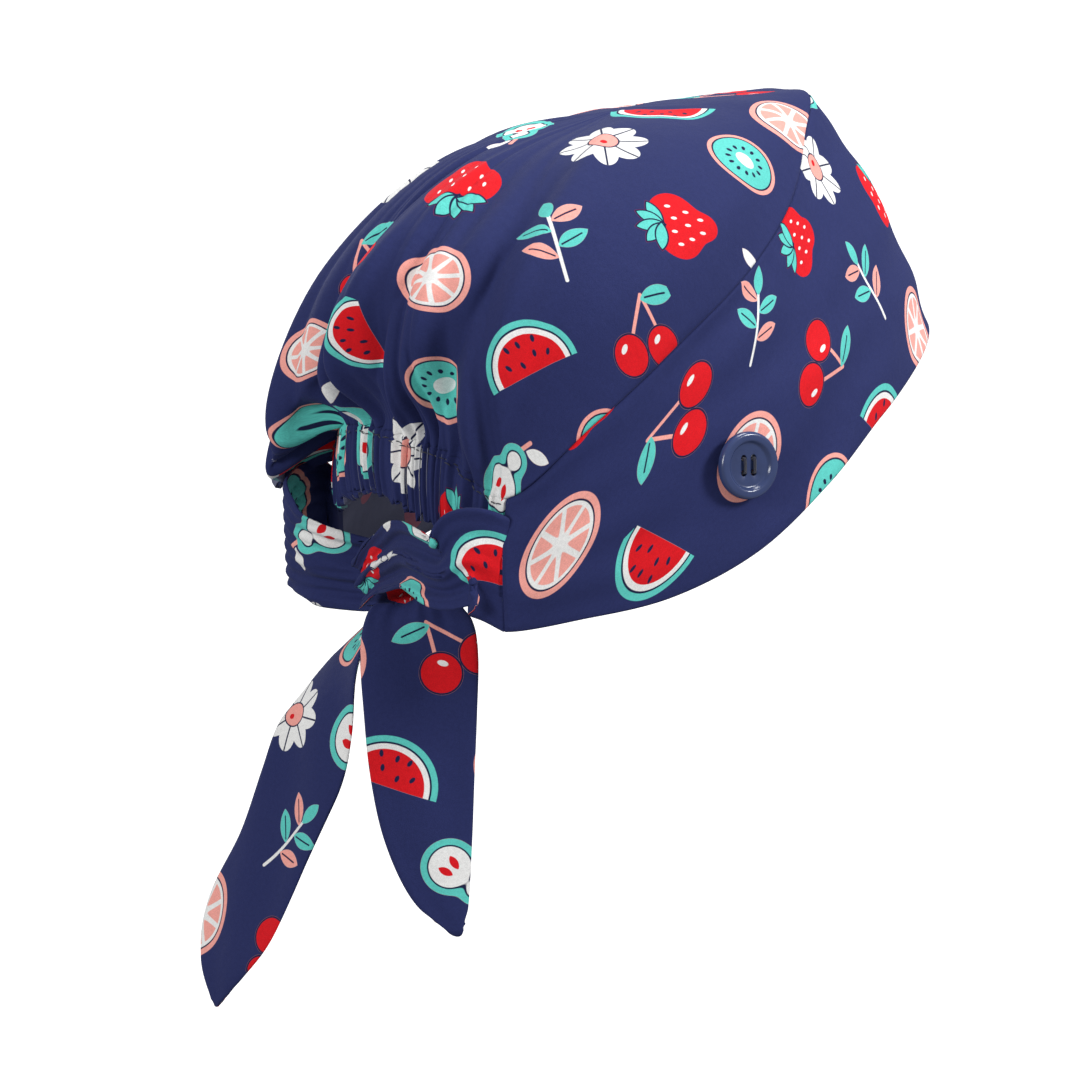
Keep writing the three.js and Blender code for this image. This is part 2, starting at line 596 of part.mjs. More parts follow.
// A button and its thread on the band, on the wearer's right for 1 and left for -1.
function makeButton(side, suffix) {
  const around = side * BUTTON_AROUND;
  const normal = outwards(bandSurface, around, BUTTON_DOWN);
  const seat = bandSurface(around, BUTTON_DOWN).addScaledVector(normal, BUTTON_STANDOFF);
  const up = new THREE.Vector3(0, 0, 1);
  const x = up.clone().cross(normal).normalize();
  const y = normal.clone().cross(x);
  const turn = new THREE.Matrix4().makeBasis(x, y, normal);
  const place = (name, solid, colour, roughness) => {
    const geometry = toGeometry(solid).applyMatrix4(turn).translate(seat.x, seat.y, seat.z);
    const material = new THREE.MeshStandardMaterial({ color: colour, roughness, metalness: 0 });
    return named(name + suffix, geometry, material);
  };
  return [
    place("button_", buttonSolid(), colours.button, 0.35),
    place("button_thread_", threadSolid(), colours.navyDark, 0.9),
  ];
}

const leftKnot = knotPath(LEFT_TIE);
const leftPath = [...leftKnot, ...tailPath(leftKnot.at(-1), LEFT_TAIL, LEFT_TAIL_DROP)];
const [behind] = knotPath([RIGHT_TAIL_ROOT]);
const rightRoot = { x: behind.x, y: behind.y - TAIL_BEHIND, z: behind.z - TAIL_BELOW * TIE_WIDTH };

const cap = new THREE.Group();
cap.add(makeCrown(), makeBand(), makeChannel());
cap.add(makeTie("right_tie", 1, knotPath(RIGHT_TIE), RIGHT_TIE_ROWS));
cap.add(makeTie("left_tie", -1, leftPath, LEFT_TIE_ROWS));
cap.add(makeTail("right_tail", tailPath(rightRoot, RIGHT_TAIL, RIGHT_TAIL_DROP), RIGHT_TAIL_ROWS));
cap.add(...makeButton(1, "right"), ...makeButton(-1, "left"));

export default cap;
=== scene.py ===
# %% [markdown]
# A tie-back scrub cap, as it sits on a head: a gathered crown, a deep band that runs on into two knotted
# ties, an elasticated channel across the back and a mask button over each ear. Everything is in metres,
# +Z up, with X to the wearer's left, Y to the back and the centre of the head opening at 0.

# %% Set-up
import math

import bmesh
import bpy
import numpy as np
from mathutils import Matrix, Vector


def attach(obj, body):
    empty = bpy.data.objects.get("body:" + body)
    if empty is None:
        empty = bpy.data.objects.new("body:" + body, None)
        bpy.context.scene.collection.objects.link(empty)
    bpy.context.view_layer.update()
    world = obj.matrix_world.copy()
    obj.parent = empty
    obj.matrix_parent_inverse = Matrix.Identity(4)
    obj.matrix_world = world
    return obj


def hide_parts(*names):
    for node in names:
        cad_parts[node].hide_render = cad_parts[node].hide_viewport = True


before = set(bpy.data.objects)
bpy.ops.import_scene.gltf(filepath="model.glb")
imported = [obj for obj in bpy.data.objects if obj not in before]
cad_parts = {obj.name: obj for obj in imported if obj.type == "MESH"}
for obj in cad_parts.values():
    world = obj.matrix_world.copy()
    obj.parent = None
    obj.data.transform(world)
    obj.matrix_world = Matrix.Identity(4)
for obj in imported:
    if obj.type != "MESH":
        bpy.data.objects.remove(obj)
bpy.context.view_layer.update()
MM = 0.001

# %% [markdown]
# The sizes are those of the solid model, so each cloth lies where its solid does. Tables of sections come
# where they are first needed, and give lengths as shares of these sizes.

# %% Sizes
HALF_LENGTH = 104 * MM
HALF_WIDTH = 80 * MM
CROWN_HEIGHT = 131 * MM
BAND_END = 135.0
SEAM_GAP = 0.4 * MM

CROWN_CLOTH = 0.9 * MM
BAND_CLOTH = 1.5 * MM
CHANNEL_CLOTH = 1.6 * MM
TIE_CLOTH = 1.8 * MM
print("cap, mm:", [round(size / MM) for size in (2 * HALF_WIDTH, 2 * HALF_LENGTH, CROWN_HEIGHT)])

# %% [markdown]
# Smooth curves through the tables, for whole arrays of points at once.


# %% Curves
def hermite(a, slope_a, b, slope_b, t):
    """A cubic from a to b with those slopes."""
    t2, t3 = t * t, t * t * t
    return (
        (2 * t3 - 3 * t2 + 1) * a
        + (t3 - 2 * t2 + t) * slope_a
        + (3 * t2 - 2 * t3) * b
        + (t3 - t2) * slope_b
    )


def at_row(table, x):
    """Every column of a table at x. The table is mirrored at both ends."""
    key = np.array(table["around"], float)
    keys = np.concatenate([[2 * key[0] - key[1]], key, [2 * key[-1] - key[-2]]])
    i = np.clip(np.searchsorted(key, x, side="right") - 1, 0, len(key) - 2)
    x0, x1, x2, x3 = (keys[i + k] for k in range(4))
    t = np.clip((x - x1) / (x2 - x1), 0, 1)
    found = {}
    for name, column in table.items():
        values = np.array([column[1], *column, column[-2]], float)
        v0, v1, v2, v3 = (values[i + k] for k in range(4))
        slope1 = (v2 - v0) / (x2 - x0) * (x2 - x1)
        slope2 = (v3 - v1) / (x3 - x1) * (x2 - x1)
        found[name] = hermite(v1, slope1, v2, slope2, t)
    return found


def through(values, t):
    """A smooth curve through evenly spaced values, at t from 0 to 1."""
    t = np.asarray(t, float)
    values = [np.broadcast_to(np.asarray(v, float), t.shape) for v in values]
    ends = [2 * values[0] - values[1], *values, 2 * values[-1] - values[-2]]
    stack = np.stack(ends)
    scaled = np.clip(t, 0, 1) * (len(values) - 1)
    i = np.minimum(len(values) - 2, np.floor(scaled)).astype(int)
    v0, v1, v2, v3 = (np.take_along_axis(stack, (i + k)[None], 0)[0] for k in range(4))
    return hermite(v1, (v2 - v0) / 2, v2, (v3 - v1) / 2, scaled - i)


def unit(v):
    """Vectors at length 1."""
    return v / np.maximum(np.linalg.norm(v, axis=-1, keepdims=True), 1e-12)


# %% [markdown]
# The cap's surfaces. Around is in degrees from the forehead, over 180 on the wearer's left, and down runs
# from the apex or the seam at 0 to the lower edge at 1.


# %% Surfaces
CROWN_SECTIONS = {
    "around": [0, 20, 45, 75, 100, 118, 135, 150, 165, 180],
    "seam_out": [0.6, 0.61, 0.62, 0.76, 0.93, 1.01, 0.97, 0.89, 0.86, 0.85],
    "seam_up": [0.995, 0.985, 0.885, 0.69, 0.49, 0.29, 0.11, 0.195, 0.225, 0.238],
    "bulge_out": [0.46, 0.47, 0.52, 0.66, 0.85, 0.98, 1.0, 0.98, 0.97, 0.98],
    "bulge_up": [0.985, 0.985, 0.95, 0.83, 0.69, 0.54, 0.4, 0.41, 0.41, 0.4],
    "shoulder_out": [0.31, 0.32, 0.37, 0.48, 0.65, 0.78, 0.87, 0.89, 0.89, 0.89],
    "shoulder_up": [0.975, 0.975, 0.965, 0.915, 0.84, 0.76, 0.67, 0.645, 0.63, 0.63],
    "top_out": [0.16, 0.17, 0.19, 0.26, 0.36, 0.44, 0.49, 0.52, 0.53, 0.53],
    "top_up": [0.965, 0.965, 0.96, 0.95, 0.925, 0.9, 0.87, 0.85, 0.845, 0.845],
}
APEX_UP = 0.955
SAG_AROUND = 219
SAG_SPREAD = 21
SAG_OUT = 0.15
SAG_DROP = 0.33
SAG_SHOULDER = 0.33

BAND_SECTIONS = {
    "around": [0, 30, 60, 75, 90, 105, 120, 135],
    "edge_out": [1.0, 1.0, 1.0, 1.0, 1.0, 1.0, 0.99, 0.98],
    "edge_up": [0.43, 0.417, 0.255, 0.12, -0.023, -0.112, -0.157, -0.189],
    "middle_out": [0.83, 0.84, 0.88, 0.93, 0.98, 1.01, 1.02, 1.0],
    "middle_up": [0.73, 0.71, 0.54, 0.41, 0.28, 0.16, 0.05, -0.035],
}
CHANNEL_SECTIONS = {
    "around": [135, 143, 155, 167, 180],
    "edge_out": [0.95, 0.92, 0.88, 0.85, 0.84],
    "edge_up": [0.0, 0.01, 0.04, 0.07, 0.09],
}


def half_turn(around):
    """Degrees from the forehead on either side."""
    return np.abs(np.mod(around + 180, 360) - 180)


def shared(around, out, up):
    """The point at an angle round the head, out and up as shares."""
    a = np.radians(around)
    x, y = -np.sin(a) * HALF_WIDTH * out, -np.cos(a) * HALF_LENGTH * out
    return np.stack([x, y, up * CROWN_HEIGHT + 0 * a], -1)


def smooth_crown(around, down, ease=0.0):
    """The crown without folds. Ease lets its gathered edge out, as the flat cloth is."""
    around, down = np.broadcast_arrays(np.asarray(around, float), np.asarray(down, float))
    s = at_row(CROWN_SECTIONS, half_turn(around))
    sag = np.exp(-(((np.mod(around, 360) - SAG_AROUND) / SAG_SPREAD) ** 2))
    back = np.clip((half_turn(around) - 100) / 60, 0, 1)
    bulge_out = s["bulge_out"] + sag * SAG_OUT + back * ease / 2
    shoulder_up = s["shoulder_up"] - sag * SAG_DROP * SAG_SHOULDER
    outs = [0, s["top_out"], s["shoulder_out"], bulge_out, s["seam_out"] + back * ease]
    ups = [APEX_UP, s["top_up"], shoulder_up, s["bulge_up"] - sag * SAG_DROP, s["seam_up"]]
    return shared(around, through(outs, down), through(ups, down))


def band_surface(around, down):
    """The band from its seam to the brim."""
    around, down = np.broadcast_arrays(np.asarray(around, float), np.asarray(down, float))
    s = at_row(BAND_SECTIONS, np.minimum(half_turn(around), BAND_END))
    seam = at_row(CROWN_SECTIONS, half_turn(around))
    outs = [seam["seam_out"], s["middle_out"], s["edge_out"]]
    ups = [seam["seam_up"], s["middle_up"], s["edge_up"]]
    return shared(around, through(outs, down), through(ups, down))


def smooth_channel(around, down):
    """The channel without gathers, from its stitches to its lower edge."""
    around, down = np.broadcast_arrays(np.asarray(around, float), np.asarray(down, float))
    s = at_row(CHANNEL_SECTIONS, np.maximum(half_turn(around), BAND_END))
    seam = at_row(CROWN_SECTIONS, half_turn(around))
    out = seam["seam_out"] + (s["edge_out"] - seam["seam_out"]) * down
    up = seam["seam_up"] + (s["edge_up"] - seam["seam_up"]) * down
    return shared(around, out, up)


def outwards(surface, around, down):
    """The way a surface faces."""
    step = 0.01
    along_down = surface(around, down + step) - surface(around, down - step)
    along_around = surface(around + 1, down) - surface(around - 1, down)
    return unit(np.cross(along_around, along_down))


def seam_side(around):
    """The way the seam faces, between the crown and the piece below it."""
    on_band = half_turn(around)[..., None] <= BAND_END
    at_seam = 0 * around
    band_side, channel_side = (outwards(s, around, at_seam) for s in (band_surface, smooth_channel))
    below = np.where(on_band, band_side, channel_side)
    return unit(outwards(smooth_crown, around, 0 * around + 1) + below)


# %% [markdown]
# Gathers, folds and creases. The elastic draws the crown into many small pleats, which run out upwards at
# different heights and join into the large soft folds.

# %% Folds and gathers
FOLD_DEPTH = 8 * MM
FOLD_SWELL = 3.6
FOLD_RISE = 0.9
FOLD_FADE = 1.4
RAISED_FOLD, HOLLOW_FOLD = 1.7, 1.15  # how round a fold's crest or hollow is across, 2 being the roundest

# Foot and head in degrees round, spread in degrees, reach a share of the way up and depth of FOLD_DEPTH.
FOLD_COLUMNS = ("foot", "head", "spread", "reach", "depth")
FOLDS = [
    (224, 226, 5, 0.5, -0.5),
    (204, 200, 6, 0.85, 0.8),
    (196, 176, 5, 0.85, -1.2),
    (185, 160, 6, 0.8, 0.8),
    (174, 152, 5, 0.7, -0.7),
    (164, 142, 5, 0.65, 0.7),
    (155, 130, 5, 0.7, -0.9),
    (146, 118, 6, 0.85, 1.0),
    (139, 120, 5, 0.5, -0.5),
]
GATHERS = [
    # pleats across the back, depth, shares of the crown over which they start and fade, phase
    (53, 0.8, 0, 0.04, 0.4),
    (31, 1.6, 0, 0.13, 2.1),
    (14, 3.6, 0.035, 0.3, 4.4),
    (9, 3.6, 0.05, 0.5, 1.3),
]


def back_share(around):
    """0 at the channel's right end, 1 at its left, clipped between."""
    return np.clip((np.mod(around, 360) - BAND_END) / (360 - 2 * BAND_END), 0, 1)


def gather_height(around, rise):
    """Pleats at the channel, rise being the share of the way up the crown."""
    share = back_share(around)
    edge = np.clip(np.minimum(share, 1 - share) / 0.05, 0, 1)
    drift = 0.012 * np.sin(7 * share * math.pi + 1) + 0.006 * np.sin(23 * share)
    height = 0
    for count, depth, start, fade, phase in GATHERS:
        wave = np.cos(2 * math.pi * count * (share + drift) + phase)
        sharp = 0.5 * (wave - 1) - 0.35 * np.exp(-((1 + wave) / 0.25)) + 0.1
        grown = 1 - np.exp(-rise / start) if start else 1
        height = height + depth * MM * sharp * grown * np.exp(-rise / fade)
    return height * edge * np.clip((1 - rise) / 0.4, 0, 1)


def fold_height(around, down):
    """The large folds over the crown, and the gathers at its lower edge."""
    turn = np.mod(around, 360)
    rise = 1 - down
    height = gather_height(around, rise)
    for row in FOLDS:
        fold = dict(zip(FOLD_COLUMNS, row))
        along = np.clip(rise / fold["reach"], 0, 1)
        swell = FOLD_SWELL * along**FOLD_RISE * (1 - along) ** FOLD_FADE
        off = (turn - fold["foot"] - (fold["head"] - fold["foot"]) * along) / fold["spread"]
        sharp = RAISED_FOLD if fold["depth"] > 0 else HOLLOW_FOLD
        height = height + FOLD_DEPTH * fold["depth"] * swell * np.exp(-(np.abs(off) ** sharp))
    return height


def creases(around, down, seam_down, seed, depth=0.35 * MM):
    """Slight unevenness of worn cloth: broad swells, and puckers along the seam at seam_down."""
    a, d = np.radians(around), down * 3.0
    rng = np.random.default_rng(seed)
    height = 0
    for k in range(7):
        fa, fd = rng.integers(2, 11), rng.uniform(-9, 9)
        height = height + depth / (1 + 0.12 * fa) * np.sin(fa * a + fd * d + rng.uniform(0, 6.3))
    near = np.exp(-np.abs(down - seam_down) / 0.045)
    pucker = np.sin(61 * a + 2 * np.sin(9 * a)) * (0.5 + 0.5 * np.sin(13 * a + 2))
    return height + 0.28 * MM * near * pucker


def crown_surface(around, down):
    """The crown with its folds."""
    side = outwards(smooth_crown, around, np.maximum(down, 0.02))
    weight = (down**12)[..., None]
    side = unit(side * (1 - weight) + seam_side(around) * weight)
    front = np.clip((half_turn(around) - 20) / 40, 0.2, 1)
    held = np.clip((1 - down) / 0.03, 0, 1) * np.clip(down / 0.1, 0, 1)
    slack = creases(around, down, 1.0, 3) * held * front
    return smooth_crown(around, down) + side * (fold_height(around, down) + slack)[..., None]


def channel_surface(around, down):
    """The channel with its pleats, which run on from the crown's."""
    own_side = outwards(smooth_channel, around, down)
    side = seam_side(around) * (1 - down)[..., None] + own_side * down[..., None]
    share = back_share(around)
    ruffle = 0.55 * MM * np.sin(2 * math.pi * 33 * share + 3 * np.sin(5 * share)) * down
    puff = 0.9 * MM * np.sin(math.pi * np.clip(down, 0, 1))
    height = gather_height(around, 0 * down) * (1 - 0.25 * down) + ruffle + puff
    point = smooth_channel(around, down) + unit(side) * height[..., None]
    hem = 1.0 * MM * np.sin(2 * math.pi * 31 * share + 1.7) + 0.7 * MM * np.sin(2 * math.pi * 17 * share)
    point[..., 2] += hem * down**3
    return point


# %% [markdown]
# Cloth meshes. Each is a grid of points with a UV map in metres of cloth, so the print and the weave keep
# their real size on every piece.


# %% Mesh helpers
def link(name, mesh):
    """A new object in the scene."""
    obj = bpy.data.objects.new(name, mesh)
    bpy.context.collection.objects.link(obj)
    return obj


def grid_mesh(name, points, cloth, ring=False, pole=False):
    """A smooth mesh over rows and columns of points, with its cloth coordinates as UVs."""
    rows, columns = points.shape[:2]
    place = points.reshape(-1, 3)
    flat = cloth.reshape(-1, 2)
    index = np.arange(rows * columns).reshape(rows, columns)
    if ring:
        index = np.concatenate([index, index[:, :1]], 1)
    faces = []
    for i in range(rows - 1):
        for j in range(index.shape[1] - 1):
            if pole and i == 0:
                faces.append((index[0, 0], index[1, j + 1], index[1, j]))
            else:
                faces.append((index[i, j], index[i, j + 1], index[i + 1, j + 1], index[i + 1, j]))
    mesh = bpy.data.meshes.new(name)
    mesh.from_pydata(place.tolist(), [], [tuple(int(v) for v in f) for f in faces])
    corners = np.empty(len(mesh.loops), int)
    mesh.loops.foreach_get("vertex_index", corners)
    layer = mesh.uv_layers.new(name="cloth")
    layer.data.foreach_set("uv", flat[corners].ravel())
    mesh.shade_smooth()
    if pole:
        drop_loose(mesh)
    return mesh


def drop_loose(mesh):
    """Takes out points that no face uses."""
    bm = bmesh.new()
    bm.from_mesh(mesh)
    loose = [v for v in bm.verts if not v.link_faces]
    bmesh.ops.delete(bm, geom=loose, context="VERTS")
    bm.to_mesh(mesh)
    bm.free()


def thicken(obj, thickness, inside=None):
    """Gives a cloth its thickness, inwards, with the reverse side's own finish."""
    solid = obj.modifiers.new("thickness", "SOLIDIFY")
    solid.thickness = thickness
    solid.offset = -1
    solid.use_even_offset = False
    if inside is not None:
        obj.data.materials.append(inside)
        solid.material_offset = 1
    apply_modifiers(obj)


def apply_modifiers(obj):
    """Turns an object's modifiers into its mesh."""
    evaluated = obj.evaluated_get(bpy.context.evaluated_depsgraph_get())
    mesh = bpy.data.meshes.new_from_object(evaluated)
    old = obj.data
    obj.modifiers.clear()
    obj.data = mesh
    mesh.name = obj.name
    bpy.data.meshes.remove(old)


def lengths_along(points, axis):
    """Distance run along an axis of a grid of points."""
    steps = np.linalg.norm(np.diff(points, axis=axis), axis=-1)
    pad = [(0, 0), (0, 0)]
    pad[axis] = (1, 0)
    return np.pad(np.cumsum(steps, axis=axis), pad)


# %% [markdown]
# The print is a scatter of fruit and flowers on navy. Each motif is a short drawing made of circles,
# ellipses, strokes and half planes, in millimetres about its own centre. A brick grid of cells sets where
# each one lies, and which it is, how it is turned and how far off centre it sits.


# %% Drawing in a shader
EDGE = 0.16  # softness of a motif's edge, in millimetres


class Num:
    """A number in a shader tree, so that distances can be written as ordinary sums."""

    def __init__(self, tree, socket):
        self.tree, self.socket = tree, socket

    def math(self, operation, *others, clamp=False):
        node = self.tree.nodes.new("ShaderNodeMath")
        node.operation, node.use_clamp = operation, clamp
        for slot, value in zip(node.inputs, (self, *others)):
            if isinstance(value, Num):
                self.tree.links.new(value.socket, slot)
            else:
                slot.default_value = value
        return Num(self.tree, node.outputs[0])

    def __add__(self, other):
        return self.math("ADD", other)

    def __sub__(self, other):
        return self.math("SUBTRACT", other)

    def __mul__(self, other):
        return self.math("MULTIPLY", other)

    def __neg__(self):
        return self.math("MULTIPLY", -1.0)

    def __abs__(self):
        return self.math("ABSOLUTE")

    def both(self, other):
        return self.math("MAXIMUM", other)

    def either(self, other):
        return self.math("MINIMUM", other)


def mixed(tree, factor, one, other, blend="MIX"):
    """A colour made of two, each a socket or a plain colour."""
    mix = tree.nodes.new("ShaderNodeMix")
    mix.data_type, mix.blend_type = "RGBA", blend
    for slot, value in ((mix.inputs[0], factor), (mix.inputs[6], one), (mix.inputs[7], other)):
        if isinstance(value, bpy.types.NodeSocket):
            tree.links.new(value, slot)
        else:
            slot.default_value = (*value, 1) if isinstance(value, tuple) else value
    return mix.outputs[2]


class Drawing:
    """One motif's node group: fills are laid on each other in order."""

    def __init__(self, name):
        self.tree = bpy.data.node_groups.new(name, "ShaderNodeTree")
        face = self.tree.interface
        face.new_socket("Place", in_out="INPUT", socket_type="NodeSocketVector")
        face.new_socket("Color", in_out="OUTPUT", socket_type="NodeSocketColor")
        face.new_socket("Cover", in_out="OUTPUT", socket_type="NodeSocketFloat")
        self.place = self.tree.nodes.new("NodeGroupInput").outputs["Place"]
        split = self.vector("ShaderNodeSeparateXYZ")
        self.x, self.y = Num(self.tree, split.outputs[0]), Num(self.tree, split.outputs[1])
        self.radius = self.circle((0, 0), 0)
        self.angle = self.y.math("ARCTAN2", self.x)
        self.colour, self.cover = None, None

    def vector(self, kind):
        node = self.tree.nodes.new(kind)
        self.tree.links.new(self.place, node.inputs[0])
        return node

    def circle(self, centre, radius):
        node = self.vector("ShaderNodeVectorMath")
        node.operation = "DISTANCE"
        node.inputs[1].default_value = (*centre, 0)
        distance = Num(self.tree, node.outputs["Value"])
        return distance - radius if radius else distance

    def side(self, towards, distance):
        """The half plane on this side of a line at a distance from the centre, in degrees."""
        node = self.vector("ShaderNodeVectorMath")
        node.operation = "DOT_PRODUCT"
        turn = math.radians(towards)
        node.inputs[1].default_value = (math.cos(turn), math.sin(turn), 0)
        return Num(self.tree, node.outputs["Value"]) - distance

    def ellipse(self, centre, half_x, half_y, turn=0):
        mapping = self.vector("ShaderNodeMapping")
        mapping.vector_type = "TEXTURE"
        mapping.inputs["Location"].default_value = (*centre, 0)
        mapping.inputs["Rotation"].default_value = (0, 0, math.radians(turn))
        mapping.inputs["Scale"].default_value = (half_x, half_y, 1)
        length = self.tree.nodes.new("ShaderNodeVectorMath")
        length.operation = "LENGTH"
        self.tree.links.new(mapping.outputs[0], length.inputs[0])
        return (Num(self.tree, length.outputs["Value"]) - 1) * min(half_x, half_y)

    def stroke(self, start, end, half_width):
        """A round-ended line."""
        (ax, ay), (bx, by) = start, end
        dx, dy = bx - ax, by - ay
        along = self.x * dx + self.y * dy - (ax * dx + ay * dy)
        along = along.math("MULTIPLY", 1 / (dx * dx + dy * dy), clamp=True)
        off_x = self.x - ax - along * dx
        off_y = self.y - ay - along * dy
        return (off_x * off_x + off_y * off_y).math("SQRT") - half_width

    def lens(self, centre, turn, length, width):
        """A pointed leaf."""
        bow = (length * length / width - width) / 4
        radius = bow + width / 2
        t = math.radians(turn)
        nx, ny = -math.sin(t) * bow, math.cos(t) * bow
        one = self.circle((centre[0] + nx, centre[1] + ny), radius)
        return one.both(self.circle((centre[0] - nx, centre[1] - ny), radius))

    def rays(self, count):
        """Distance from the nearest of count lines out of the centre."""
        return abs((self.angle * (count / 2)).math("SINE") * self.radius) * (2 / count)

    def fill(self, distance, colour):
        mask = distance.math("MULTIPLY_ADD", -1 / EDGE, 0.5, clamp=True)
        under = colour if self.colour is None else self.colour
        self.colour = mixed(self.tree, mask.socket, under, colour)
        self.cover = mask if self.cover is None else self.cover.both(mask)

    def finish(self):
        out = self.tree.nodes.new("NodeGroupOutput")
        self.tree.links.new(self.colour, out.inputs["Color"])
        self.tree.links.new(self.cover.socket, out.inputs["Cover"])
        return self.tree


# %% [markdown]
# The motifs: a melon slice, a citrus slice, cherries, a strawberry, a pear, a daisy, a kiwi slice and a
# sprig. Each is a few filled shapes, laid on each other from the back to the front as in a screen print.


# %% Motifs
# Colours, linear.
NAVY = (0.021, 0.028, 0.109)
NAVY_LINE = (0.011, 0.014, 0.055)
MINT = (0.11, 0.58, 0.52)
CORAL = (0.87, 0.37, 0.32)
RED = (0.68, 0.008, 0.014)
WHITE = (0.82, 0.82, 0.81)


def melon_slice():
    d = Drawing("melon slice")
    cut = d.side(90, 6)
    rind = d.circle((0, 6), 16)
    d.fill(rind.both(cut), MINT)
    d.fill((rind + 1.9).both(cut), NAVY_LINE)
    d.fill((rind + 2.5).both(cut), WHITE)
    d.fill((rind + 4.2).both(cut), RED)
    for x, y in ((-7, 2), (-2.6, 0.6), (2.6, 2.6), (7.2, 1.6), (-4.2, -3.6), (1, -3.4), (5, -3.2)):
        d.fill(d.ellipse((x, y), 0.65, 1.15, x * 4), NAVY_LINE)
    return d.finish()


def citrus_slice():
    d = Drawing("citrus slice")
    d.fill(d.radius - 13, CORAL)
    d.fill(d.radius - 11.2, NAVY_LINE)
    d.fill(d.radius - 10.7, WHITE)
    d.fill((d.radius - 9.6).both(-(d.rays(8) - 0.75)).both(-(d.radius - 1.6)), CORAL)
    return d.finish()


def cherries():
    d = Drawing("cherries")
    d.fill(d.stroke((-6, -4), (1, 11), 0.6), CORAL)
    d.fill(d.stroke((6.5, -2), (1, 11), 0.6), CORAL)
    d.fill(d.lens((7, 11), 12, 13, 6), MINT)
    d.fill(d.stroke((2.5, 10.2), (10, 11.6), 0.3), NAVY_LINE)
    for x, y in ((-6.4, -6.6), (7, -4.6)):
        ball = d.circle((x, y), 6.2)
        d.fill(ball - 0.6, NAVY_LINE)
        d.fill(ball, RED)
        d.fill(d.ellipse((x - 2.2, y + 2.2), 0.9, 1.7, -40), WHITE)
    return d.finish()


def strawberry():
    d = Drawing("strawberry")
    body = d.circle((-3.6, 2.4), 7.6).math("SMOOTH_MIN", d.circle((3.6, 2.4), 7.6), 3)
    body = body.math("SMOOTH_MIN", d.circle((0, -7.5), 4), 9)
    d.fill(body, RED)
    upper = ((-6.5, 2.4), (-2.3, 3.4), (2.3, 2.4), (6.5, 3.4))
    lower = ((-4.6, -1.8), (0, -1.6), (4.6, -2), (-2.2, -6), (2.2, -6.2))
    for x, y in upper + lower:
        d.fill(d.ellipse((x, y), 0.5, 0.95), WHITE)
    for turn in (15, 52, 90, 128, 165):
        t = math.radians(turn)
        leaf = d.lens((4 * math.cos(t), 7.4 + 4 * math.sin(t) * 0.8), turn, 9, 3.6)
        d.fill(leaf - 0.5, NAVY_LINE)
        d.fill(leaf, MINT)
    return d.finish()


def pear():
    d = Drawing("pear")
    body = d.circle((0, -4.6), 9).math("SMOOTH_MIN", d.circle((0, 6.2), 5.2), 5)
    d.fill(d.stroke((0, 10), (1.8, 15), 0.7), CORAL)
    d.fill(d.lens((6.2, 13.4), 20, 9, 4.4), WHITE)
    d.fill(body, MINT)
    d.fill(body + 2.0, NAVY_LINE)
    d.fill(body + 2.5, WHITE)
    d.fill(d.lens((-1.9, -4.6), 75, 5, 2.4), RED)
    d.fill(d.lens((1.9, -4.6), 105, 5, 2.4), RED)
    return d.finish()


def daisy():
    d = Drawing("daisy")
    wave = abs((d.angle * 4).math("COSINE"))
    petals = d.radius - wave.math("MULTIPLY_ADD", 3.6, 9.2)
    d.fill(petals, WHITE)
    d.fill((d.rays(8) - 0.28).both(petals).both(-(d.radius - 4)), NAVY_LINE)
    d.fill(d.radius - 4.6, NAVY_LINE)
    d.fill(d.radius - 4.1, CORAL)
    d.fill(d.circle((-1, 1), 1), RED)
    return d.finish()


def kiwi_slice():
    d = Drawing("kiwi slice")
    rim = d.ellipse((0, 0), 12.6, 11)
    d.fill(rim, CORAL)
    d.fill(rim + 1.2, NAVY_LINE)
    d.fill(rim + 1.7, MINT)
    d.fill(d.ellipse((0, 0), 3.4, 2.6), WHITE)
    ring = d.radius - 5.6
    beads = ((d.angle * (12 / math.tau)).math("FRACT") - 0.5) * 2.9
    d.fill((ring * ring * 0.4 + beads * beads).math("SQRT") - 0.6, NAVY_LINE)
    return d.finish()


def leaf_sprig():
    d = Drawing("leaf sprig")
    d.fill(d.stroke((0, -14), (0, 11), 0.55), WHITE)
    d.fill(d.lens((0, 11), 90, 9, 4.4), MINT)
    for side, y, colour in ((1, 5, CORAL), (-1, 1.5, MINT), (1, -3, MINT), (-1, -6.5, CORAL)):
        leaf = d.lens((side * 5.2, y + 2.4), 90 - side * 62, 11, 4.8)
        d.fill(leaf, colour)
        d.fill(d.stroke((side * 1.5, y + 0.4), (side * 8, y + 3.8), 0.25), NAVY_LINE)
    return d.finish()


MOTIFS = [melon_slice, daisy, cherries, kiwi_slice, strawberry, citrus_slice, pear, leaf_sprig]
CELL_WIDTH = 39  # millimetres
CELL_HEIGHT = 35
JITTER = 5
print("motifs:", [motif.__name__ for motif in MOTIFS])

# %% [markdown]
# One node group holds the whole print. It finds the cell that a point of the cloth lies in, moves and turns
# the point to suit the motif there, and lays that motif's colour on the navy ground.


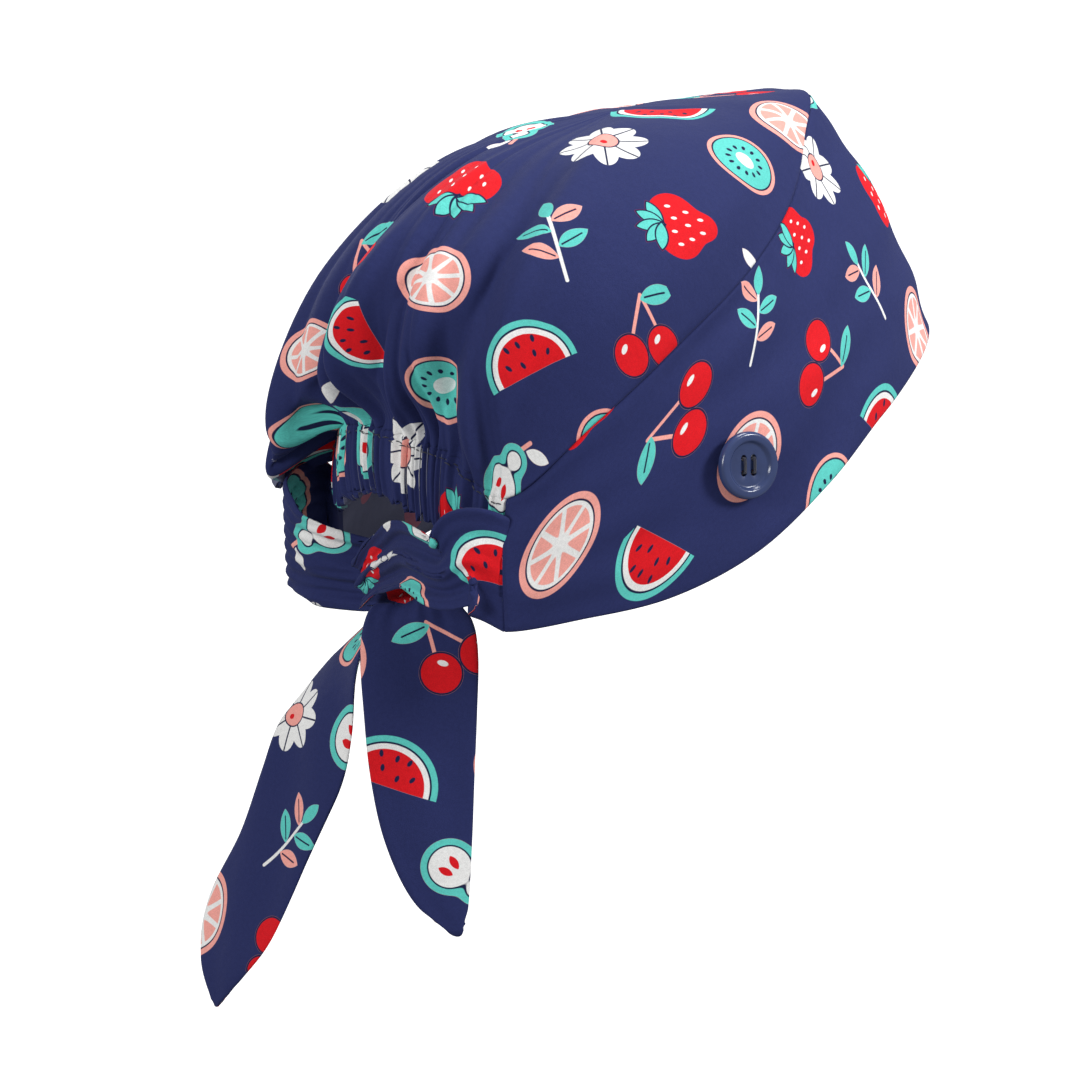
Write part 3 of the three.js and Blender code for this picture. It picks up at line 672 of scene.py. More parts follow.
# %% The print
def print_group():
    """The whole print: cloth coordinates in, colour out."""
    tree = bpy.data.node_groups.new("fruit print", "ShaderNodeTree")
    tree.interface.new_socket("Cloth", in_out="INPUT", socket_type="NodeSocketVector")
    tree.interface.new_socket("Color", in_out="OUTPUT", socket_type="NodeSocketColor")
    split = tree.nodes.new("ShaderNodeSeparateXYZ")
    tree.links.new(tree.nodes.new("NodeGroupInput").outputs["Cloth"], split.inputs[0])
    across = Num(tree, split.outputs[0]) * (1 / CELL_WIDTH)
    along = Num(tree, split.outputs[1]) * (1 / CELL_HEIGHT)
    row = along.math("FLOOR")
    across = across + row.math("FLOORED_MODULO", 2) * 0.5
    column = across.math("FLOOR")
    cell = tree.nodes.new("ShaderNodeCombineXYZ")
    tree.links.new(column.socket, cell.inputs[0])
    tree.links.new(row.socket, cell.inputs[1])
    chance = tree.nodes.new("ShaderNodeTexWhiteNoise")
    chance.noise_dimensions = "3D"
    tree.links.new(cell.outputs[0], chance.inputs["Vector"])
    chances = tree.nodes.new("ShaderNodeSeparateColor")
    tree.links.new(chance.outputs["Color"], chances.inputs[0])
    off = [Num(tree, chances.outputs[k]) - 0.5 for k in range(2)]
    x = (across - column - 0.5) * CELL_WIDTH - off[0] * JITTER
    y = (along - row - 0.5) * CELL_HEIGHT - off[1] * JITTER
    place = tree.nodes.new("ShaderNodeCombineXYZ")
    tree.links.new(x.socket, place.inputs[0])
    tree.links.new(y.socket, place.inputs[1])
    turn = tree.nodes.new("ShaderNodeVectorRotate")
    turn.rotation_type = "Z_AXIS"
    tree.links.new(place.outputs[0], turn.inputs["Vector"])
    angle = Num(tree, chances.outputs[2]) * math.tau
    tree.links.new(angle.socket, turn.inputs["Angle"])
    which = (column * 3 + row * 2).math("FLOORED_MODULO", len(MOTIFS))
    colour = NAVY
    for k, motif in enumerate(MOTIFS):
        group = tree.nodes.new("ShaderNodeGroup")
        group.node_tree = motif()
        tree.links.new(turn.outputs[0], group.inputs["Place"])
        shown = which.math("COMPARE", float(k), 0.5) * Num(tree, group.outputs["Cover"])
        colour = mixed(tree, shown.socket, colour, group.outputs["Color"])
    out = tree.nodes.new("NodeGroupOutput")
    tree.links.new(colour, out.inputs["Color"])
    return tree


print_tree = print_group()
print("print:", len(MOTIFS), "motifs in cells of", CELL_WIDTH, "by", CELL_HEIGHT, "mm")

# %% [markdown]
# The cotton is a fine plain weave with a dry, soft sheen. Its threads show as a tiny bump, the dye is a
# little uneven, and the print is fainter on the reverse, where the ground is paler too.

# %% Materials
BUTTON_BLUE = (0.034, 0.052, 0.14)
THREAD_BLUE = (0.008, 0.01, 0.035)
THREAD_PITCH = 0.42  # millimetres between the threads of the weave
WEAVE_HEIGHT, SLUB_HEIGHT, DRAPE_HEIGHT = 0.035, 0.12, 0.9  # millimetres
REVERSE_GROUND = (0.24, 0.25, 0.34)
REVERSE_FADE = 0.6
THREAD_LAY = 0.35 * MM


def new_material(name):
    """An empty node material with its output and shader."""
    material = bpy.data.materials.new(name)
    material.use_nodes = True
    tree = material.node_tree
    tree.nodes.clear()
    out = tree.nodes.new("ShaderNodeOutputMaterial")
    shader = tree.nodes.new("ShaderNodeBsdfPrincipled")
    tree.links.new(shader.outputs[0], out.inputs[0])
    return material, tree, shader


def noise(tree, vector, scale, detail=2.0):
    """A noise texture's value."""
    node = tree.nodes.new("ShaderNodeTexNoise")
    node.inputs["Scale"].default_value = scale
    node.inputs["Detail"].default_value = detail
    tree.links.new(vector, node.inputs["Vector"])
    return Num(tree, node.outputs[0])


def bumped(tree, shader, height, strength, distance):
    """Raises a shader's surface by a number, 1 being the distance in metres."""
    bump = tree.nodes.new("ShaderNodeBump")
    bump.inputs["Strength"].default_value = strength
    bump.inputs["Distance"].default_value = distance
    tree.links.new(height.socket, bump.inputs["Height"])
    tree.links.new(bump.outputs[0], shader.inputs["Normal"])


def cotton(name, shift, reverse=False):
    """The printed cloth. Shift moves the print, so that each piece is cut from another place."""
    material, tree, shader = new_material(name)
    uv = tree.nodes.new("ShaderNodeUVMap")
    uv.uv_map = "cloth"
    cloth = tree.nodes.new("ShaderNodeMapping")
    cloth.inputs["Scale"].default_value = (1000, 1000, 1000)
    cloth.inputs["Location"].default_value = (*shift, 0)
    tree.links.new(uv.outputs[0], cloth.inputs[0])
    printed = tree.nodes.new("ShaderNodeGroup")
    printed.node_tree = print_tree
    tree.links.new(cloth.outputs[0], printed.inputs[0])

    mottle = noise(tree, cloth.outputs[0], 0.9, 3.0).math("MULTIPLY_ADD", 0.3, 0.85)
    fleck = noise(tree, cloth.outputs[0], 3.2, 1.0).math("MULTIPLY_ADD", 0.5, 0.75)
    shown = mixed(tree, 1, printed.outputs["Color"], (mottle * fleck).socket, "MULTIPLY")
    if reverse:
        shown = mixed(tree, REVERSE_FADE, shown, REVERSE_GROUND)
    tree.links.new(shown, shader.inputs["Base Color"])

    split = tree.nodes.new("ShaderNodeSeparateXYZ")
    tree.links.new(cloth.outputs[0], split.inputs[0])
    waves = [(Num(tree, split.outputs[k]) * (math.tau / THREAD_PITCH)).math("SINE") for k in range(2)]
    weave = waves[0] * waves[1] * WEAVE_HEIGHT
    slub = noise(tree, cloth.outputs[0], 1.6, 3.0) * SLUB_HEIGHT
    drape = noise(tree, cloth.outputs[0], 0.11, 2.0) * DRAPE_HEIGHT
    bumped(tree, shader, weave + slub + drape, 0.55, MM)

    rough = noise(tree, cloth.outputs[0], 0.5).math("MULTIPLY_ADD", 0.16, 0.7)
    tree.links.new(rough.socket, shader.inputs["Roughness"])
    shader.inputs["Specular IOR Level"].default_value = 0.12
    shader.inputs["Sheen Weight"].default_value = 0.05
    shader.inputs["Sheen Roughness"].default_value = 0.5
    shader.inputs["Sheen Tint"].default_value = (0.6, 0.65, 0.95, 1)
    return material


# %% [markdown]
# The buttons are moulded plastic: glossy, with faint flow marks in the colour and a little unevenness in the
# gloss, so that the lights don't draw a perfect line on the rim.


# %% Plastic
def plastic(name, colour):
    """Moulded plastic with faint flow marks and worn gloss."""
    material, tree, shader = new_material(name)
    where = tree.nodes.new("ShaderNodeTexCoord").outputs["Object"]
    tone = noise(tree, where, 180, 4.0).math("MULTIPLY_ADD", 0.35, 0.82)
    tree.links.new(mixed(tree, 1, colour, tone.socket, "MULTIPLY"), shader.inputs["Base Color"])
    gloss = noise(tree, where, 420, 3.0).math("MULTIPLY_ADD", 0.12, 0.14)
    tree.links.new(gloss.socket, shader.inputs["Roughness"])
    bumped(tree, shader, noise(tree, where, 900, 2.0), 0.2, 0.08 * MM)
    shader.inputs["Specular IOR Level"].default_value = 0.5
    return material


# %% [markdown]
# Sewing thread is two strands twisted together. A fine diagonal wave over it stands for the twist in its
# bump, and darkens its colour where the bump is low, as painted shade in the grooves between the strands.


# %% Sewing thread
def sewing_thread(name, colour):
    """Twisted thread: a diagonal lay across a dark, slightly glossy strand, with painted shade in the
    grooves of its twist.
    """
    material, tree, shader = new_material(name)
    where = tree.nodes.new("ShaderNodeTexCoord").outputs["Object"]
    split = tree.nodes.new("ShaderNodeSeparateXYZ")
    tree.links.new(where, split.inputs[0])
    lay = Num(tree, split.outputs[0]) + Num(tree, split.outputs[1]) + Num(tree, split.outputs[2])
    twist = (lay * (math.tau / THREAD_LAY)).math("SINE")
    # painted shade: the colour is darkened where the twist's bump is low, in the grooves between the strands
    tone = twist.math("MULTIPLY_ADD", 0.25, 0.8)
    tree.links.new(mixed(tree, 1, colour, tone.socket, "MULTIPLY"), shader.inputs["Base Color"])
    bumped(tree, shader, twist, 0.6, 0.1 * MM)
    shader.inputs["Roughness"].default_value = 0.6
    shader.inputs["Sheen Weight"].default_value = 0.3
    return material


# %% [markdown]
# Each piece is cut from another place of the same printed cloth, so each cotton moves the print by its own
# shift. The reverse of a piece keeps its front's shift, because it is the same cloth seen from behind.

# %% Finishes
crown_cotton = cotton("crown cotton", (4, 11))
crown_reverse = cotton("crown reverse", (4, 11), reverse=True)
band_cotton = cotton("band cotton", (131, 47))
band_reverse = cotton("band reverse", (131, 47), reverse=True)
tie_cotton = cotton("tie cotton", (77, 205))
button_blue = plastic("button blue", BUTTON_BLUE)
thread_blue = sewing_thread("thread blue", THREAD_BLUE)
print("materials:", len(bpy.data.materials))

# %% [markdown]
# The crown. Its cloth coordinates come from flattening a coarse copy of its unfolded form, whose back
# edge is let out as the flat cloth is before it is gathered, so the print crowds together at the elastic.

# %% Flattening the crown
EASE = 0.45
FLAT_ROWS, FLAT_COLUMNS = 36, 120


def flat_crown():
    """Cloth coordinates, in metres, on an even grid of down and around."""
    downs = np.linspace(0, 1, FLAT_ROWS)
    arounds = np.linspace(0, 360, FLAT_COLUMNS, endpoint=False)
    down, around = np.meshgrid(downs, arounds, indexing="ij")
    points = smooth_crown(around, down, EASE)
    start = np.stack([-points[..., 0], -points[..., 1]], -1)
    mesh = grid_mesh("flattening", points, start, ring=True, pole=True)
    obj = link("flattening", mesh)
    bpy.context.view_layer.objects.active = obj
    obj.select_set(True)
    bpy.ops.object.mode_set(mode="EDIT")
    bpy.ops.mesh.select_all(action="SELECT")
    bpy.ops.uv.unwrap(method="MINIMUM_STRETCH", iterations=40, margin=0)
    bpy.ops.object.mode_set(mode="OBJECT")
    mesh = obj.data
    uv = np.empty(len(mesh.loops) * 2)
    mesh.uv_layers["cloth"].data.foreach_get("uv", uv)
    corners = np.empty(len(mesh.loops), int)
    mesh.loops.foreach_get("vertex_index", corners)
    at_vertex = np.zeros((len(mesh.vertices), 2))
    at_vertex[corners] = uv.reshape(-1, 2)
    flat = np.concatenate([np.repeat(at_vertex[:1], FLAT_COLUMNS, 0), at_vertex[1:]])
    flat = flat.reshape(FLAT_ROWS, FLAT_COLUMNS, 2)
    cloth_area = sum(polygon.area for polygon in mesh.polygons)
    x, y = flat[-1].T
    flat_area = abs(np.sum(x * np.roll(y, -1) - np.roll(x, -1) * y)) / 2
    bpy.data.objects.remove(obj)
    flat = (flat - flat[0, 0]) * math.sqrt(cloth_area / flat_area)
    back = flat[-1, FLAT_COLUMNS // 2]
    turn = math.atan2(back[0], -back[1])
    c, s = math.cos(turn), math.sin(turn)
    return flat @ np.array([[c, -s], [s, c]])


def crown_cloth(flat, around, down):
    """Cloth coordinates anywhere on the crown, between those of the flattened grid."""
    r = np.clip(down, 0, 1) * (FLAT_ROWS - 1)
    c = np.mod(around, 360) / 360 * FLAT_COLUMNS
    i = np.minimum(np.floor(r).astype(int), FLAT_ROWS - 2)
    j = np.floor(c).astype(int) % FLAT_COLUMNS
    fr, fc = (r - i)[..., None], (c - np.floor(c))[..., None]
    k = (j + 1) % FLAT_COLUMNS
    upper = flat[i, j] * (1 - fc) + flat[i, k] * fc
    lower = flat[i + 1, j] * (1 - fc) + flat[i + 1, k] * fc
    return upper * (1 - fr) + lower * fr


# %% [markdown]
# The shaped crown is a polar grid, close in rows and columns where the gathers are. Its lower edge is turned
# in a little as its stitches draw it, and Solidify gives it the thickness of cotton, inwards.

# %% Shaping the crown
flat_grid = flat_crown()
back_around = np.linspace(BAND_END, 360 - BAND_END, 361)
front_around = np.linspace(360 - BAND_END, 360 + BAND_END, 151)[1:-1]
crown_around = np.concatenate([back_around, front_around])
crown_down = np.concatenate([np.linspace(0, 0.7, 42), np.linspace(0.7, 0.988, 38)[1:], [0.992, 0.996, 1]])
ALLOWANCE = 6 * MM


def share_of_height(surface, around, length):
    """A length as a share of a surface's own height at each angle."""
    downs = np.linspace(0, 1, 9)
    down, a = np.meshgrid(downs, around, indexing="ij")
    height = lengths_along(surface(a, down), 0)[-1]
    return length / height


def turned_in(points, side, distance, reach=1.2 * MM, depth=0.4 * MM):
    """Points drawn in by a seam's stitches, distance being how far each lies from the seam."""
    near = np.clip(1 - distance / reach, 0, 1)
    return points - side * (depth * near * near)[..., None]


def behind_crown(around, above, depth):
    """A row of points behind the crown's lower edge."""
    down = 1 - share_of_height(smooth_crown, around, above)
    return crown_surface(around, down) - seam_side(around) * depth


def make_crown():
    down, around = np.meshgrid(crown_down, crown_around, indexing="ij")
    height = 1 / share_of_height(smooth_crown, crown_around, 1)
    edge = 1 - SEAM_GAP / 2 / height
    points = turned_in(crown_surface(around, down * edge), seam_side(around), (1 - down) * height)
    mesh = grid_mesh("crown_cloth", points, crown_cloth(flat_grid, around, down), ring=True, pole=True)
    mesh.materials.append(crown_cotton)
    obj = link("crown_cloth", mesh)
    thicken(obj, CROWN_CLOTH, crown_reverse)
    return obj


crown = make_crown()
print("crown:", len(crown.data.polygons), "faces")

# %% [markdown]
# The band, cut from its own piece of cloth, and the elasticated channel, which is the crown's cloth
# turned over.


# %% Band and channel
BAND_TUCKS = (ALLOWANCE, ALLOWANCE / 2, MM)  # heights of the rows tucked behind the crown's edge
CHANNEL_TUCKS = (ALLOWANCE / 2, MM)
CHANNEL_OVERLAP = 1.6  # degrees at each end, under the band


def make_band():
    arounds = np.linspace(-BAND_END, BAND_END, 301)
    downs = np.concatenate([[0, 0.004, 0.01], np.linspace(0.02, 0.985, 38), [0.993, 1]])
    down, around = np.meshgrid(downs, arounds, indexing="ij")
    height = 1 / share_of_height(band_surface, arounds, 1)
    start = SEAM_GAP / 2 / height
    at = start + (1 - start) * down
    side = outwards(band_surface, around, at)
    side[0] = seam_side(around[0])
    held = np.clip(down / 0.06, 0, 1) * np.clip((BAND_END - np.abs(around)) / 6, 0, 1)
    slack = creases(around, down, 0.05, 8, depth=0.4 * MM) * held
    plain = band_surface(around, at)
    points = turned_in(plain + side * slack[..., None], side, down * height)
    points = turned_in(points, side, (1 - down) * height, 1.5 * MM, 0.5 * MM)
    tucked = [behind_crown(arounds, above, CROWN_CLOTH + 0.5 * MM) for above in BAND_TUCKS]
    run = lengths_along(plain, 1)
    middle = run[len(downs) // 2]
    across = np.broadcast_to(middle - middle[len(arounds) // 2], down.shape)
    fall = lengths_along(plain, 0)
    lean = 0.35 * np.sin(np.radians(around))
    cloth = np.stack([across + lean * fall, -fall + 0.15 * np.abs(across)], -1)
    extra = cloth[:1] + np.array([[0, above] for above in BAND_TUCKS])[:, None]
    mesh = grid_mesh("band_cloth", np.concatenate([tucked, points]), np.concatenate([extra, cloth]))
    mesh.materials.append(band_cotton)
    obj = link("band_cloth", mesh)
    thicken(obj, BAND_CLOTH, band_reverse)
    return obj


def make_channel():
    first, last = BAND_END - CHANNEL_OVERLAP, 360 - BAND_END + CHANNEL_OVERLAP
    arounds = np.linspace(first, last, 541)
    downs = np.linspace(0, 1, 22)
    down, around = np.meshgrid(downs, arounds, indexing="ij")
    start = share_of_height(smooth_channel, arounds, SEAM_GAP / 2)
    under = np.clip((BAND_END + 0.5 - half_turn(around)) / 0.7, 0, 1) * (BAND_CLOTH + 0.4 * MM)
    side = outwards(smooth_channel, around, down)
    points = channel_surface(around, start + (1 - start) * down) - side * under[..., None]
    tucked = [behind_crown(arounds, above, CROWN_CLOTH + 0.4 * MM) for above in CHANNEL_TUCKS]
    edge = crown_cloth(flat_grid, around, 0 * down + 1)
    onward = unit(edge - crown_cloth(flat_grid, around, 0 * down + 0.95))
    fall = lengths_along(smooth_channel(around, down), 0)
    cloth = edge + onward * fall[..., None]
    extra = np.stack([cloth[0] - onward[0] * above for above in CHANNEL_TUCKS])
    mesh = grid_mesh("channel_cloth", np.concatenate([tucked, points]), np.concatenate([extra, cloth]))
    mesh.materials.append(crown_cotton)
    obj = link("channel_cloth", mesh)
    thicken(obj, CHANNEL_CLOTH, crown_reverse)
    return obj


band = make_band()
channel = make_channel()
print("band:", len(band.data.polygons), "faces, channel:", len(channel.data.polygons), "faces")

# %% [markdown]
# The ties are tubes of the same cloth. A row of sections leads each from the band through the knot: where
# its middle runs, how wide it lies and how it is rolled. Its tail hangs on from there, with rows of its own
# in shares of its drop.


# %% Tie tables
TIE_PLEATS = 2
PLEAT_DEPTH = 2 * MM
TIE_WIDTH = 36 * MM
TIE_START = 0.12
LEFT_TAIL_DROP = 99 * MM
RIGHT_TAIL_DROP = 128 * MM
BAND_TO_TIE = 0.14

# Right, back and up as shares of the half sizes and the height, wide of TIE_WIDTH, and roll in degrees.
RIGHT_TIE = [
    (0.686, 0.686, -0.06, 0.95, 0),
    (0.64, 0.785, -0.02, 0.86, 0),
    (0.52, 0.825, -0.06, 0.58, 0),
    (0.36, 0.835, -0.05, 0.56, 0),
    (0.2, 0.825, -0.045, 0.56, 0),
    (0.05, 0.81, -0.07, 0.5, 0),
    (-0.09, 0.8, -0.1, 0.44, 0),
    (-0.22, 0.795, -0.15, 0.4, 0),
]
LEFT_TIE = [
    (-0.686, 0.686, -0.06, 0.95, 0),
    (-0.73, 0.79, -0.03, 1.12, 0),
    (-0.64, 0.87, -0.06, 1.08, 0),
    (-0.47, 0.85, -0.11, 0.86, 0),
    (-0.3, 0.75, -0.13, 0.64, 0),
    (-0.13, 0.7, -0.12, 0.54, 0),
    (0.0, 0.695, -0.12, 0.5, 0),
    (0.09, 0.71, -0.145, 0.62, -15),
    (0.12, 0.73, -0.2, 0.9, -42),
]

# Drop, right and back as shares of the tail's drop, leading and trailing of half TIE_WIDTH, and roll.
LEFT_TAIL = [
    (0.12, 0.0, 0.0, 1.0, 1.0, -52),
    (0.3, 0.0, 0.0, 0.95, 0.97, -52),
    (0.5, 0.0, 0.0, 0.84, 0.92, -52),
    (0.7, 0.0, 0.0, 0.6, 0.88, -52),
    (0.88, 0.0, 0.0, 0.15, 0.83, -52),
    (1.0, 0.0, 0.0, -0.5, 0.76, -52),
]
RIGHT_TAIL = [
    (0.0, 0.0, 0.0, 0.6, 0.6, -5),
    (0.14, 0.0, 0.13, 0.85, 0.85, -10),
    (0.3, -0.01, 0.2, 1.0, 1.0, -25),
    (0.45, -0.04, 0.24, 1.0, 1.0, -30),
    (0.62, -0.07, 0.3, 1.0, 0.95, -30),
    (0.78, -0.11, 0.37, 1.0, 0.95, -30),
    (0.9, -0.13, 0.41, 0.62, 0.62, -30),
    (1.0, -0.14, 0.42, 0.08, 0.08, -30),
]
RIGHT_TAIL_ROOT = (-0.36, 0.7, -0.12, 1, 0)
TAIL_BEHIND = 7.4 * MM
TAIL_BELOW = 0.29
print("tie sections:", len(RIGHT_TIE), "right,", len(LEFT_TIE), "left")

# %% [markdown]
# Cotton pressed flat and then pulled into a knot lies in lengthwise pleats. So a tie is a flat tube round a
# grid of middle points, whose pleats deepen as it narrows and fade where it hangs free.

# %% Tie paths
SOFT_WAVE = 0.7 * MM
GATHERED_SHARE = 0.22  # share of a tie's length over which its gathers fade
UNDER_BAND = BAND_CLOTH + 1.1 * MM
UNDER_ROWS = (4.5, 1.5)  # degrees under the end of the band


def knot_path(rows):
    """A tie's rows in metres."""
    right, back, up, wide, roll = np.array(rows, float).T
    half = wide * TIE_WIDTH / 2
    return {
        "x": -right * HALF_WIDTH,
        "y": back * HALF_LENGTH,
        "z": up * CROWN_HEIGHT,
        "leading": half,
        "trailing": half,
        "roll": roll,
        "pleat": np.ones(len(rows)),
    }


def tail_path(root, rows, drop):
    """A tail's rows in metres, below its root."""
    down, right, back, leading, trailing, roll = np.array(rows, float).T
    return {
        "x": root[0] - right * drop,
        "y": root[1] + back * drop,
        "z": root[2] - down * drop,
        "leading": leading * TIE_WIDTH / 2,
        "trailing": trailing * TIE_WIDTH / 2,
        "roll": roll,
        "pleat": np.zeros(len(rows)),
    }


def joined(one, other):
    return {name: np.concatenate([one[name], other[name]]) for name in one}


def path_frame(path, t):
    """The middle of a tie, the way it runs, the way it faces and the way across it."""

    def middle(at):
        return np.stack([through(path[name], at) for name in "xyz"], -1)

    step = 0.01
    along = unit(middle(np.minimum(1, t + step)) - middle(np.maximum(0, t - step)))
    centre = middle(t)
    outer = unit(centre * np.array([1, 1, 0]))
    outer = unit(outer - along * np.sum(outer * along, -1, keepdims=True))
    roll = np.radians(through(path["roll"], t))[:, None]
    outer = outer * np.cos(roll) + np.cross(along, outer) * np.sin(roll)
    return centre, along, outer, np.cross(along, outer)


# %% [markdown]
# Across its width a tie is folded into pleats wherever it has to be narrower than it was cut. The tube is
# laid round those middle points, with soft edges and closed ends.


# %% Tie cloth
def tie_points(path, t, across, seed, ribs):
    """The middle layer of a tie's cloth, on a grid of t by across. Its gathers start ribs high."""
    centre, along, outer, side = path_frame(path, t)
    leading, trailing, pleat = (through(path[name], t)[:, None] for name in ("leading", "trailing", "pleat"))
    width = leading + trailing
    offset = width * (across + 1) / 2 - trailing
    spare = np.maximum(0, TIE_WIDTH / width - 1)
    depth = np.minimum(PLEAT_DEPTH, width / (math.pi * TIE_PLEATS * 2) * np.sqrt(spare)) * pleat
    turn = math.pi * TIE_PLEATS * across
    wave = depth * np.cos(turn) + 0.3 * depth * np.sin(3.1 * turn + 9 * t[:, None] + seed)
    narrow = np.clip(width / TIE_WIDTH, 0, 1) ** 2
    soft = SOFT_WAVE * np.sin(4 * across + 14 * t[:, None] + seed) * (1 - pleat) * narrow
    gathered = ribs * np.sin(24 * across + 3 * np.sin(30 * t[:, None]))
    gathered = gathered * np.exp(-((t[:, None] / GATHERED_SHARE) ** 2))
    lift = wave + soft + gathered
    return centre[:, None] + side[:, None] * offset[..., None] + outer[:, None] * lift[..., None]


def tube_mesh(name, middle, cloth, thickness):
    """A flat tube round a grid of middle points, with soft folded edges and closed ends."""
    rows, columns = middle.shape[:2]
    along = np.gradient(middle, axis=0)
    across = np.gradient(middle, axis=1)
    outer = unit(np.cross(across, along))
    edge = np.abs(np.linspace(-1, 1, columns))
    half = thickness / 2 * np.sqrt(np.maximum(0, 1 - edge**7))[None, :, None]
    ends = np.clip(np.minimum(np.arange(rows), np.arange(rows)[::-1]) / 2, 0.25, 1)[:, None, None]
    front = middle + outer * half * ends
    back = (middle - outer * half * ends)[:, 1:-1][:, ::-1]
    points = np.concatenate([front, back], 1)
    uv = np.concatenate([cloth, cloth[:, 1:-1][:, ::-1] + [0.055, 0.02]], 1)
    mesh = grid_mesh(name, points, uv, ring=True)
    around = points.shape[1]
    back_of = [0, *range(around - 1, columns - 1, -1), columns - 1]
    bm = bmesh.new()
    bm.from_mesh(mesh)
    bm.verts.ensure_lookup_table()
    for first, closes_start in ((0, True), ((rows - 1) * around, False)):
        for j in range(columns - 1):
            corners = dict.fromkeys((j, j + 1, back_of[j + 1], back_of[j]))
            strip = [bm.verts[first + k] for k in corners]
            bm.faces.new(strip[::-1] if closes_start else strip)
    bm.to_mesh(mesh)
    bm.free()
    mesh.shade_smooth()
    return mesh


def sewn_row(side, across, back, depth, start):
    """A row of points along the band's end, back degrees under it and depth in from its face."""
    end = side * (BAND_END + math.degrees(SEAM_GAP / (HALF_WIDTH * math.sqrt(0.5))) - back)
    down = start + (1 - start) * (1 - side * across) / 2
    arounds = np.full(across.shape, end)
    return band_surface(arounds, down) - outwards(band_surface, arounds, down) * depth


# %% [markdown]
# Now the three pieces: the right tie up to its wrap, the left tie with the near tail, and the far tail. Both
# ties start under the band, and turn smoothly from its shape into their own.


# %% Ties
def round_tip(middle, across):
    """Draws the corners of a tail's end back, so that it ends in a half circle."""
    radius = np.linalg.norm(middle[-1, -1] - middle[-1, 0]) / 2
    run = lengths_along(middle, 0)[:, middle.shape[1] // 2]
    near = np.clip(1 - (run[-1] - run) / (4 * radius), 0, 1)
    along = unit(middle[-1] - middle[-3])[middle.shape[1] // 2]
    pull = radius * (1 - np.sqrt(1 - across * across))
    return middle - along * (near[:, None] * pull)[..., None]


def make_tie(
    name, path, rows, columns, shift, seed, sewn_side=0, start=TIE_START, blend=BAND_TO_TIE, ribs=0.0
):
    """A tie. Shift moves its print, and a sewn_side of 1 or -1 starts it under that end of the band."""
    t = np.linspace(0, 1, rows)
    across = np.linspace(-1, 1, columns)
    middle = tie_points(path, t, across, seed, ribs)
    facing = unit(np.cross(np.gradient(middle, axis=1), np.gradient(middle, axis=0)))
    middle = middle - facing * TIE_CLOTH / 2
    if path["pleat"][-1] == 0:
        middle = round_tip(middle, across)
    if sewn_side:
        x = np.clip(t / blend, 0, 1)
        take = (x * x * (3 - 2 * x))[:, None, None]
        middle = sewn_row(sewn_side, across, 0, TIE_CLOTH / 2, start) * (1 - take) + middle * take
        under = [sewn_row(sewn_side, across, back, UNDER_BAND, start) for back in UNDER_ROWS]
        middle = np.concatenate([under, middle])
        t = np.concatenate([np.zeros(len(UNDER_ROWS)), t])
    run = lengths_along(middle, 0)[:, columns // 2][:, None]
    leading, trailing, pleat = (through(path[key], t)[:, None] for key in ("leading", "trailing", "pleat"))
    own = (leading + trailing) * (across + 1) / 2 - trailing
    cloth_across = own * (1 - pleat) + across * TIE_WIDTH / 2 * pleat
    cloth = np.stack([cloth_across + shift[0], -np.broadcast_to(run, cloth_across.shape) + shift[1]], -1)
    mesh = tube_mesh(name, middle, cloth, TIE_CLOTH)
    mesh.materials.append(tie_cotton)
    return link(name, mesh)


left_knot = knot_path(LEFT_TIE)
left_root = [left_knot[name][-1] for name in "xyz"]
left_path = joined(left_knot, tail_path(left_root, LEFT_TAIL, LEFT_TAIL_DROP))
behind = [knot_path([RIGHT_TAIL_ROOT])[name][0] for name in "xyz"]
right_root = [behind[0], behind[1] - TAIL_BEHIND, behind[2] - TAIL_BELOW * TIE_WIDTH]

right_tail_path = tail_path(right_root, RIGHT_TAIL, RIGHT_TAIL_DROP)

right_tie = make_tie("right_tie_cloth", knot_path(RIGHT_TIE), 110, 49, (0, 0), 0.7, 1, blend=0.18)
left_tie = make_tie("left_tie_cloth", left_path, 200, 49, (0.09, 0.03), 2.2, -1, 0.01, ribs=0.7 * MM)
right_tail = make_tie("right_tail_cloth", right_tail_path, 110, 41, (0.2, 0.07), 4)
print("ties:", [len(o.data.polygons) for o in (right_tie, left_tie, right_tail)], "faces")

# %% [markdown]
# A row of stitches holds the elastic in its channel. Geometry Nodes lays one stitch after another along a
# line just off the cloth, each turned the way the seam runs.

# %% Stitches
STITCH_LENGTH = 2.3 * MM
STITCH_PITCH = 2.6 * MM
STITCH_THICKNESS = 0.4 * MM


def capsule_mesh(name):
    """One stitch of unit size: a slightly arched strand along X."""
    bm = bmesh.new()
    bmesh.ops.create_uvsphere(bm, u_segments=8, v_segments=6, radius=0.5)
    for v in bm.verts:
        x, y, z = v.co.z, v.co.x, v.co.y
        v.co = (x, y, z + 0.4 - 1.6 * x * x)
    mesh = bpy.data.meshes.new(name)
    bm.to_mesh(mesh)
    bm.free()
    mesh.shade_smooth()
    return mesh


